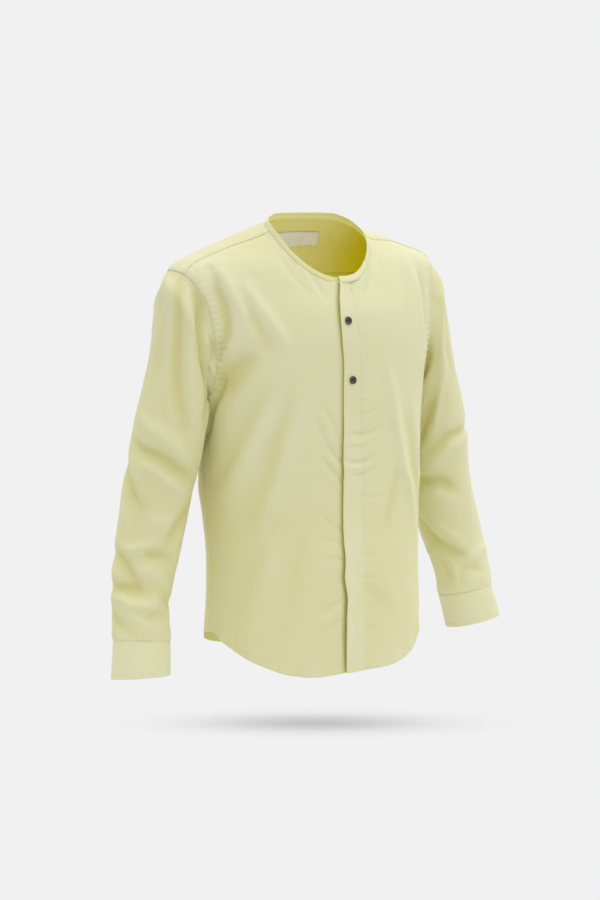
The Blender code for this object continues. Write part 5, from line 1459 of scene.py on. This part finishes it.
# -------------------------------------------------------------------- label
def label_piece():
    nu, nv = 56, 18
    lx = np.linspace(LABEL_CENTRE_X - LABEL_HALF_WIDTH, LABEL_CENTRE_X + LABEL_HALF_WIDTH, nu + 1)
    k = np.linspace(0, 1, nv + 1)
    X, K = np.meshgrid(lx, k)
    X = X + (X - lx[0]) / (2 * LABEL_HALF_WIDTH) * (.0050 + .0050 * K)
    low = LABEL_BOTTOM + .0007 * np.sin(X / .0105 + .6) + .0004 * np.sin(X / .0043)
    top = LABEL_TOP + .0004 * np.sin(X / .021 + 2)
    D = top * (1 - K) + low * K
    a, yf, ys, yb, nf, nb = section(D)
    ph = math.pi - np.sign(X) * np.arcsin((np.abs(X) / a) ** (nb / 2))
    P0 = on_body(ph, D)
    N = body_normal(ph, D)
    h = fold_height(P0)
    free = ease(K, .1, 1)
    drop = .0016 + .0016 * free + .0007 * free * np.sin(X / .0082 + 1.1) + .0004 * free * np.sin(X / .0031 + K * 2)
    ends = np.exp(-((np.abs(X - LABEL_CENTRE_X) - LABEL_HALF_WIDTH) / .004) ** 2)
    drop = drop - .0010 * free * ends
    P = P0 + N * (h - CLOTH - drop)[..., None]
    P = settle(P)
    coords = np.stack([X, D, .04 * np.sin(X / .004) * free], -1)
    SURFACE["neck_label"] = P
    mid = P[nv // 2, nu // 2]
    return cloth("neck_label_cloth", "neck_label", P, mid + N[nv // 2, nu // 2] * .05, "label", coords, thick=.00035)


label_piece()


# ---------------------------------------------------------------- stitching
class Snap:
    """Nearest point of one face of a grid, and its outward direction."""

    def __init__(self, P, closed=False):
        rows, cols = P.shape[:2]
        v = [Vector(p) for p in P.reshape(-1, 3)]
        f = []
        for i in range(rows - 1):
            for j in range(cols if closed else cols - 1):
                k = (j + 1) % cols
                f.append((i * cols + j, i * cols + k, (i + 1) * cols + k, (i + 1) * cols + j))
        self.tree = BVHTree.FromPolygons(v, f)

    def __call__(self, pts, toward):
        out, nrm = [], []
        for p, w in zip(pts, toward):
            loc, n, _, dist = self.tree.find_nearest(Vector(p))
            n = np.array(n)
            if np.dot(n, w) < 0:
                n = -n
            out.append(np.array(loc))
            nrm.append(n)
        return np.array(out), np.array(nrm)


STITCH_V, STITCH_F = [], []
STITCH_RNG = np.random.default_rng(5)


def stitch_row(snap, path, toward, pitch=STITCH_PITCH):
    """A row of stitches along a path laid on a face."""
    path = np.asarray(path, float)
    run = np.concatenate([[0], np.cumsum(np.linalg.norm(np.diff(path, axis=0), axis=1))])
    n = int(run[-1] / pitch)
    if n < 2:
        return
    s = (np.arange(n) + .5) * run[-1] / n
    c = np.stack([np.interp(s, run, path[:, k]) for k in range(3)], -1)
    w = np.stack([np.interp(s, run, toward[:, k]) for k in range(3)], -1)
    e = STITCH_LENGTH / 2
    a = np.stack([np.interp(s - e, run, path[:, k]) for k in range(3)], -1)
    b = np.stack([np.interp(s + e, run, path[:, k]) for k in range(3)], -1)
    pa, na = snap(a, w)
    pb, nb_ = snap(b, w)
    pc, nc = snap(c, w)
    t = unit(pb - pa)
    side = unit(np.cross(nc, t))
    r = STITCH_RADIUS
    slant = STITCH_RNG.uniform(-.00010, .00010, len(c))[:, None]
    rings = []
    for p, lift, size in ((pa - side * slant, -.00006, .55), (pa * .72 + pb * .28, .00016, 1.0), (pa * .28 + pb * .72, .00016, 1.0), (pb + side * slant, -.00006, .55)):
        p = p + nc * lift
        rings.append([p + side * r * size, p + nc * r * size * .8, p - side * r * size, p - nc * r * size * .8])
    R = np.array(rings)                                   # ring, corner, stitch, xyz
    R = R.transpose(2, 0, 1, 3).reshape(len(c), 16, 3)
    start = sum(len(x) for x in STITCH_V)
    STITCH_V.append(R.reshape(-1, 3))
    faces = []
    for g in range(3):
        for q in range(4):
            faces.append((g * 4 + q, g * 4 + (q + 1) % 4, g * 4 + 4 + (q + 1) % 4, g * 4 + 4 + q))
    faces.append((3, 2, 1, 0))
    faces.append((12, 13, 14, 15))
    faces = np.array(faces)
    STITCH_F.append((faces[None] + (start + np.arange(len(c)) * 16)[:, None, None]).reshape(-1, 4))


def offset_curve(curve, dist, toward_phi_depth):
    """A (phi, depth) curve moved along the body by a distance, toward a side."""
    P = curve3(curve)
    t = unit(np.gradient(P, axis=0))
    n = body_normal(curve[:, 0], curve[:, 1])
    s = unit(np.cross(n, t))
    probe = curve3(curve + (toward_phi_depth - curve) * .02) - P
    s = s * np.sign((probe * s).sum(-1))[:, None]
    return P + s * dist, n


def shares(curve, a=0.0, b=1.0, n=300):
    return along(curve, np.linspace(a, b, n))


SNAPS = {name: Snap(P, closed=name.startswith("sleeve")) for name, P in SURFACE.items() if name != "neck_band"}

for sign, tag in ((1, "left"), (-1, "right")):
    mir = (lambda c: c) if sign > 0 else flip
    # armhole: two rows on each of front, back and yoke
    front_arm = shares(np.stack(armhole_front(np.linspace(YOKE_T_FRONT, 1, 400)), -1), .005, .985)
    back_arm = shares(np.stack(armhole_back(np.linspace(YOKE_T_BACK, 1, 400)), -1), .005, .985)
    yoke_arm = shares(np.concatenate([np.stack(armhole_front(np.linspace(YOKE_T_FRONT, 0, 200)), -1),
                                      np.stack(armhole_back(np.linspace(0, YOKE_T_BACK, 200))[0:2], -1)[1:]]), .01, .99)
    for dist in (.0014, FELL_WIDTH - .0013):
        for curve, node, goal in ((front_arm, "front_" + tag, (math.radians(20), .20)),
                                  (back_arm, "back", (math.radians(160), .22)),
                                  (yoke_arm, "yoke", (math.radians(100), -.01))):
            path, nrm = offset_curve(mir(curve), dist, mir(np.array(goal)[None])[0])
            stitch_row(SNAPS[node], path, nrm)
    # yoke over the front
    curve = shares(YOKE_FRONT_CURVE, .04, .94)
    for dist in (.0015, .0062):
        path, nrm = offset_curve(mir(curve), dist, mir(np.array([[math.radians(100), -.005]]))[0])
        stitch_row(SNAPS["yoke"], path, nrm)
    # side seam, on the front
    path, nrm = offset_curve(mir(shares(SIDE_L, .01, .985)), .0050, mir(np.array([[math.radians(20), .45]]))[0])
    stitch_row(SNAPS["front_" + tag], path, nrm)
    # sleeve: the seam under the arm
    P = SURFACE["sleeve_" + tag]
    col = int(round((math.radians(186) + .0030 / .055) / (2 * math.pi) * SLEEVE_COUNT)) % SLEEVE_COUNT
    path = P[12:-6, col]
    away = unit(path - P[12:-6].mean(1))
    stitch_row(SNAPS["sleeve_" + tag], path, away)
    # cuff: along the seam and above the edge
    P = SURFACE["cuff_" + tag]
    mid = P.mean((0, 1))
    outer = graded(24, .0612, 5, 5, .005)
    for share in (.0018 / .0612, 1 - .0052 / .0612):
        k = np.interp(share, outer, np.arange(25))
        i = int(k)
        path = P[i] * (1 - (k - i)) + P[i + 1] * (k - i)
        path = path[3:-3]
        stitch_row(SNAPS["cuff_" + tag], path, unit(path - path.mean(0)))
    for j in (2, -3):
        stitch_row(SNAPS["cuff_" + tag], P[2:-3, j], unit(P[2:-3, j] - P.mean((0, 1))))

curve = shares(YOKE_BACK_CURVE, .015, .985, 700)
for dist in (.0015, .0062):
    path, nrm = offset_curve(curve, dist, np.array([math.pi, .03]))
    stitch_row(SNAPS["yoke"], path, nrm)

# hem
for node, a, b, goal in (("front_left", 1.5, 91.5, (.5, .5)), ("front_right", -91.5, 1.0, (-.5, .5)),
                         ("back", 93.5, 266.5, (math.pi, .5))):
    if node == "front_left":
        a = math.degrees(float(phi_at_x(.0215, .717))) + .4
    if node == "front_right":
        b = math.degrees(float(phi_at_x(.0120, .717)))
    ph = np.radians(np.linspace(a, b, 500))
    path, nrm = offset_curve(np.stack([ph, hem_depth(ph)], -1), HEM_WIDTH - .0013, np.array(goal))
    stitch_row(SNAPS[node], path, nrm)
P = SURFACE["placket"]
stitch_row(SNAPS["placket"], P[-7, 2:-1], PLACKET_N[-7, 2:-1])

# placket: the sewn edge
cols = graded(24, .036, 5, 6, .005)
k = np.interp(1 - .0022 / .036, cols, np.arange(25))
i = int(k)
path = P[:, i] * (1 - (k - i)) + P[:, i + 1] * (k - i)
stitch_row(SNAPS["placket"], path[2:-1], PLACKET_N[2:-1, i])

# band: above its lower edge
w, base, rise, face, run, lift = BAND
BP = SURFACE["neck_band"]
SNAPS["neck_band"] = Snap(BP)
path = BP[3]
stitch_row(SNAPS["neck_band"], path[3:-2], face[3:-2])

# label: along its top
LP = SURFACE["neck_label"]
c = (LP[1] + LP[2]) / 2
inward = -body_normal(np.full(len(c), math.pi), np.full(len(c), .03))
stitch_row(SNAPS["neck_label"], c[1:-1], inward[1:-1])

V = np.concatenate(STITCH_V)
F = np.concatenate(STITCH_F)
me = bpy.data.meshes.new("topstitching")
me.vertices.add(len(V))
me.vertices.foreach_set("co", V.astype(np.float32).ravel())
me.loops.add(F.size)
me.loops.foreach_set("vertex_index", F.astype(np.int32).ravel())
me.polygons.add(len(F))
me.polygons.foreach_set("loop_start", (np.arange(len(F)) * 4).astype(np.int32))
me.polygons.foreach_set("loop_total", np.full(len(F), 4, np.int32))
me.update(calc_edges=True)
me.validate()
me.shade_smooth()
at = me.attributes.new("thread", "FLOAT_VECTOR", "POINT")
at.data.foreach_set("vector", (V * np.array([1, 1, 0])).astype(np.float32).ravel())
stitches = bpy.data.objects.new("topstitching", me)
scene.collection.objects.link(stitches)
me.materials.append(THREAD)
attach(stitches, "root")


# ------------------------------------------------------------------ buttons
def turned(profile, steps):
    """Closed solid turned from a profile of (radius, height), axis first and last."""
    ang = np.linspace(0, 2 * math.pi, steps, endpoint=False)
    verts = [(0, 0, profile[0][1])]
    for r, z in profile[1:-1]:
        verts += [(r * math.cos(a), r * math.sin(a), z) for a in ang]
    verts.append((0, 0, profile[-1][1]))
    faces = []
    n = len(profile) - 2
    for j in range(steps):
        k = (j + 1) % steps
        faces.append((0, 1 + j, 1 + k))
        for i in range(n - 1):
            a, b = 1 + i * steps, 1 + (i + 1) * steps
            faces.append((a + j, b + j, b + k, a + k))
        faces.append((len(verts) - 1, 1 + (n - 1) * steps + k, 1 + (n - 1) * steps + j))
    return verts, faces


def button(name, node, centre, axis, diameter, thick):
    r = diameter / 2
    t = thick
    profile = [(0, t * .56), (r * .20, t * .57), (r * .42, t * .60), (r * .56, t * .66), (r * .66, t * .80), (r * .74, t * .95),
               (r * .82, t), (r * .90, t * .96), (r * .97, t * .80), (r, t * .56), (r * .97, t * .34), (r * .90, t * .14),
               (r * .78, t * .04), (r * .60, 0), (0, 0)]
    verts, faces = turned(profile, 56)
    me = bpy.data.meshes.new(name)
    me.from_pydata(verts, [], faces)
    me.update()
    tmp = bpy.data.objects.new(name + "_blank", me)
    scene.collection.objects.link(tmp)
    hv, hf = [], []
    hole = r * .135
    at4 = [(r * .22 * a, r * .22 * b) for a in (-1, 1) for b in (-1, 1)]
    for hx, hy in at4:
        v, f = turned([(0, t * 1.4), (hole, t * 1.4), (hole, -t * .4), (0, -t * .4)], 14)
        o = len(hv)
        hv += [(x + hx, y + hy, z) for x, y, z in v]
        hf += [tuple(o + q for q in g) for g in f]
    cm = bpy.data.meshes.new(name + "_holes")
    cm.from_pydata(hv, [], hf)
    cm.update()
    cut = bpy.data.objects.new(name + "_cut", cm)
    scene.collection.objects.link(cut)
    b = tmp.modifiers.new("holes", "BOOLEAN")
    b.operation = "DIFFERENCE"
    b.object = cut
    b.solver = "EXACT"
    dg = bpy.context.evaluated_depsgraph_get()
    out = bpy.data.meshes.new_from_object(tmp.evaluated_get(dg))
    bpy.data.objects.remove(tmp, do_unlink=True)
    bpy.data.objects.remove(cut, do_unlink=True)
    out.name = name
    out.materials.clear()
    out.materials.append(BUTTON)
    out.shade_smooth()
    out.set_sharp_from_angle(angle=math.radians(50))
    z = unit(np.asarray(axis, float))
    x = unit(np.cross([0, 1, 0] if abs(z[1]) < .9 else [1, 0, 0], z))
    y = np.cross(z, x)
    M = Matrix(((x[0], y[0], z[0], centre[0]), (x[1], y[1], z[1], centre[1]), (x[2], y[2], z[2], centre[2]), (0, 0, 0, 1)))
    out.transform(M)
    ob = bpy.data.objects.new(name, out)
    scene.collection.objects.link(ob)
    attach(ob, "root")
    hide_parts(node)
    # thread: two bars across the holes
    tv, tf = [], []
    for sy in (-1, 1):
        for k, (x0, z0) in enumerate(((-.22, .40), (-.20, .66), (-.08, .74), (.08, .74), (.20, .66), (.22, .40))):
            for q in range(6):
                a = q / 6 * math.tau
                tv.append((x0 * r, sy * r * .22 + math.cos(a) * r * .085, z0 * t + math.sin(a) * r * .070))
        o = 36 * (0 if sy < 0 else 1)
        for k in range(5):
            for q in range(6):
                w = (q + 1) % 6
                tf.append((o + k * 6 + q, o + k * 6 + w, o + k * 6 + 6 + w, o + k * 6 + 6 + q))
        tf.append(tuple(o + q for q in range(5, -1, -1)))
        tf.append(tuple(o + 30 + q for q in range(6)))
    tm = bpy.data.meshes.new(name + "_thread")
    tm.from_pydata(tv, [], tf)
    tm.update()
    tm.transform(M)
    tm.shade_smooth()
    bm_at = tm.attributes.new("thread", "FLOAT_VECTOR", "POINT")
    bm_at.data.foreach_set("vector", np.array(tv, np.float32).ravel())
    tm.materials.append(DARK_THREAD)
    th = bpy.data.objects.new(name + "_thread", tm)
    scene.collection.objects.link(th)
    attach(th, "root")
    return ob


for i, (d, bx) in enumerate(zip(BUTTON_DEPTHS, (-.0036, -.0008))):
    ph = phi_at_x(bx, np.array(d))
    p0 = on_body(ph, np.array(d))
    nrm = body_normal(ph, np.array(d))
    loc, n = SNAPS["placket"]([p0 + nrm * .002], [nrm])
    button("shirt_button_%d" % (i + 1), "button_%d" % (i + 1), loc[0] + nrm * .00025, unit(nrm + n[0] * .3), BUTTON_DIAMETER, BUTTON_THICK)

for side, tag in ((-1, "right"), (1, "left")):
    a = math.radians(CUFF_START + CUFF_LAP / 2)
    p = arm_ring(CUFF[1], np.array([a]), .0019 + .0007)[0]
    q = arm_ring(CUFF[1], np.array([a]), .02)[0]
    t = (arm_ring(CUFF[1], np.array([a + .05]), .0019)[0] - arm_ring(CUFF[1], np.array([a - .05]), .0019)[0])
    down, _, _ = arm_frame(CUFF[1][3], CUFF[1][4])
    nrm = np.cross(t, down)
    if np.dot(nrm, q - p) < 0:
        nrm = -nrm
    nrm = unit(nrm)
    m = np.array([side, 1, 1])
    loc, n = SNAPS["cuff_" + tag]([p * m], [nrm * m])
    button("cuff_button_%s_fine" % tag, "cuff_button_" + tag, p * m + nrm * m * .0003, nrm * m, CUFF_BUTTON_DIAMETER, .0022)


# ------------------------------------------------------- stage, light, camera
AIM = np.array([-0.01489, 0.01005, -0.37597])
AZIMUTH, ELEVATION, DISTANCE = math.radians(-34), math.radians(9), 3.6
back_dir = np.array([math.sin(AZIMUTH) * math.cos(ELEVATION), -math.cos(AZIMUTH) * math.cos(ELEVATION), math.sin(ELEVATION)])
cam = bpy.data.cameras.new("camera")
cam.sensor_width = 36
cam.lens = 88.85
cam_ob = bpy.data.objects.new("camera", cam)
scene.collection.objects.link(cam_ob)
z = back_dir
x = unit(np.cross([0, 0, 1], z))
y = np.cross(z, x)
pos = AIM + back_dir * DISTANCE
cam_ob.matrix_world = Matrix(((x[0], y[0], z[0], pos[0]), (x[1], y[1], z[1], pos[1]), (x[2], y[2], z[2], pos[2]), (0, 0, 0, 1)))
scene.camera = cam_ob

floor_mesh = bpy.data.meshes.new("floor")
R = .75
ring = [(R * math.cos(a), R * math.sin(a), FLOOR_Z) for a in np.linspace(0, math.tau, 96, endpoint=False)]
floor_mesh.from_pydata(ring, [], [tuple(range(96))])
floor_mesh.update()
floor = bpy.data.objects.new("floor", floor_mesh)
scene.collection.objects.link(floor)
fm = bpy.data.materials.new("pale_floor")
fm.use_nodes = True
t = fm.node_tree
t.nodes.clear()
out = t.nodes.new("ShaderNodeOutputMaterial")
em = t.nodes.new("ShaderNodeEmission")
co = t.nodes.new("ShaderNodeTexCoord")
SHADOW_CENTRE = (0.010, 0.002)
SHADOW_HALF = (0.126, 0.0360)


def painted_shadow():
    """Soft pool of shade on the floor below the shirt, long across the view."""
    dx = t.nodes.new("ShaderNodeSeparateXYZ")
    t.links.new(co.outputs["Object"], dx.inputs[0])
    ca, sa = math.cos(AZIMUTH), math.sin(AZIMUTH)
    xx = math_node(t, "SUBTRACT", dx.outputs[0], SHADOW_CENTRE[0])
    yy = math_node(t, "SUBTRACT", dx.outputs[1], SHADOW_CENTRE[1])
    a = math_node(t, "DIVIDE", math_node(t, "ADD", math_node(t, "MULTIPLY", xx, ca), math_node(t, "MULTIPLY", yy, sa)), SHADOW_HALF[0])
    b = math_node(t, "DIVIDE", math_node(t, "SUBTRACT", math_node(t, "MULTIPLY", yy, ca), math_node(t, "MULTIPLY", xx, sa)), SHADOW_HALF[1])
    r2 = math_node(t, "ADD", math_node(t, "MULTIPLY", a, a), math_node(t, "MULTIPLY", b, b))
    g = math_node(t, "POWER", 2.718, math_node(t, "MULTIPLY", r2, -.5))
    return g


shade = painted_shadow()
BACKDROP = .8796                # the pale backdrop's brightness
strength = math_node(t, "MULTIPLY", math_node(t, "SUBTRACT", 1.0, math_node(t, "MULTIPLY", shade, .370)), BACKDROP)
t.links.new(strength, em.inputs["Strength"])
em.inputs["Color"].default_value = (1, 1, 1, 1)
t.links.new(em.outputs[0], out.inputs["Surface"])
floor_mesh.materials.append(fm)

world = bpy.data.worlds.new("studio")
scene.world = world
world.use_nodes = True
t = world.node_tree
bg = t.nodes["Background"]
co = t.nodes.new("ShaderNodeTexCoord")
sp = t.nodes.new("ShaderNodeSeparateXYZ")
t.links.new(co.outputs["Generated"], sp.inputs[0])
# plain backdrop up to just above the horizon, and soft lamps above it:
# azimuth (0 in front, + the wearer's left), elevation, brightness
LAMPS = ((0, 25, .32), (45, 25, .41), (-45, 25, .50), (90, 25, 1.70), (-90, 25, .36), (180, 30, .90),
         (0, 62, .66), (90, 60, .42), (-90, 60, .58), (180, 62, .60), (0, 90, .82))
level = t.nodes.new("ShaderNodeMapRange")
level.interpolation_type = "SMOOTHSTEP"
level.inputs["From Min"].default_value = .180
level.inputs["From Max"].default_value = .250
level.inputs["To Min"].default_value = 1.0
level.inputs["To Max"].default_value = 0.0
t.links.new(sp.outputs[2], level.inputs["Value"])
total = None
for az_, el_, power in LAMPS:
    a_, e_ = math.radians(az_), math.radians(el_)
    way = (math.sin(a_) * math.cos(e_), -math.cos(a_) * math.cos(e_), math.sin(e_))
    dot = math_node(t, "ADD", math_node(t, "ADD", math_node(t, "MULTIPLY", sp.outputs[0], way[0]),
                                        math_node(t, "MULTIPLY", sp.outputs[1], way[1])),
                    math_node(t, "MULTIPLY", sp.outputs[2], way[2]))
    lobe = math_node(t, "MULTIPLY", math_node(t, "POWER", math_node(t, "MAXIMUM", dot, 0.0), 6.0), power)
    total = lobe if total is None else math_node(t, "ADD", total, lobe)
sky = math_node(t, "MULTIPLY", total, math_node(t, "SUBTRACT", 1.0, level.outputs[0]))
lower = t.nodes.new("ShaderNodeMapRange")
lower.interpolation_type = "SMOOTHSTEP"
lower.inputs["From Min"].default_value = -.52
lower.inputs["From Max"].default_value = -.40
lower.inputs["To Min"].default_value = .50
lower.inputs["To Max"].default_value = BACKDROP
t.links.new(sp.outputs[2], lower.inputs["Value"])
t.links.new(math_node(t, "ADD", sky, math_node(t, "MULTIPLY", level.outputs[0], lower.outputs[0])), bg.inputs["Strength"])
bg.inputs["Color"].default_value = (1, 1, 1, 1)


# light that the thin cloth lets through into the shirt
glow = bpy.data.lights.new("through_cloth", "POINT")
glow.energy = .25
glow.color = (1.0, .97, .72)
glow.shadow_soft_size = .045
glow_ob = bpy.data.objects.new("through_cloth", glow)
scene.collection.objects.link(glow_ob)
glow_ob.location = (-.030, -.010, -.215)
glow_ob.visible_camera = False

scene.view_settings.view_transform = "Standard"
scene.view_settings.look = "None"
scene.view_settings.exposure = 0
scene.view_settings.gamma = 1

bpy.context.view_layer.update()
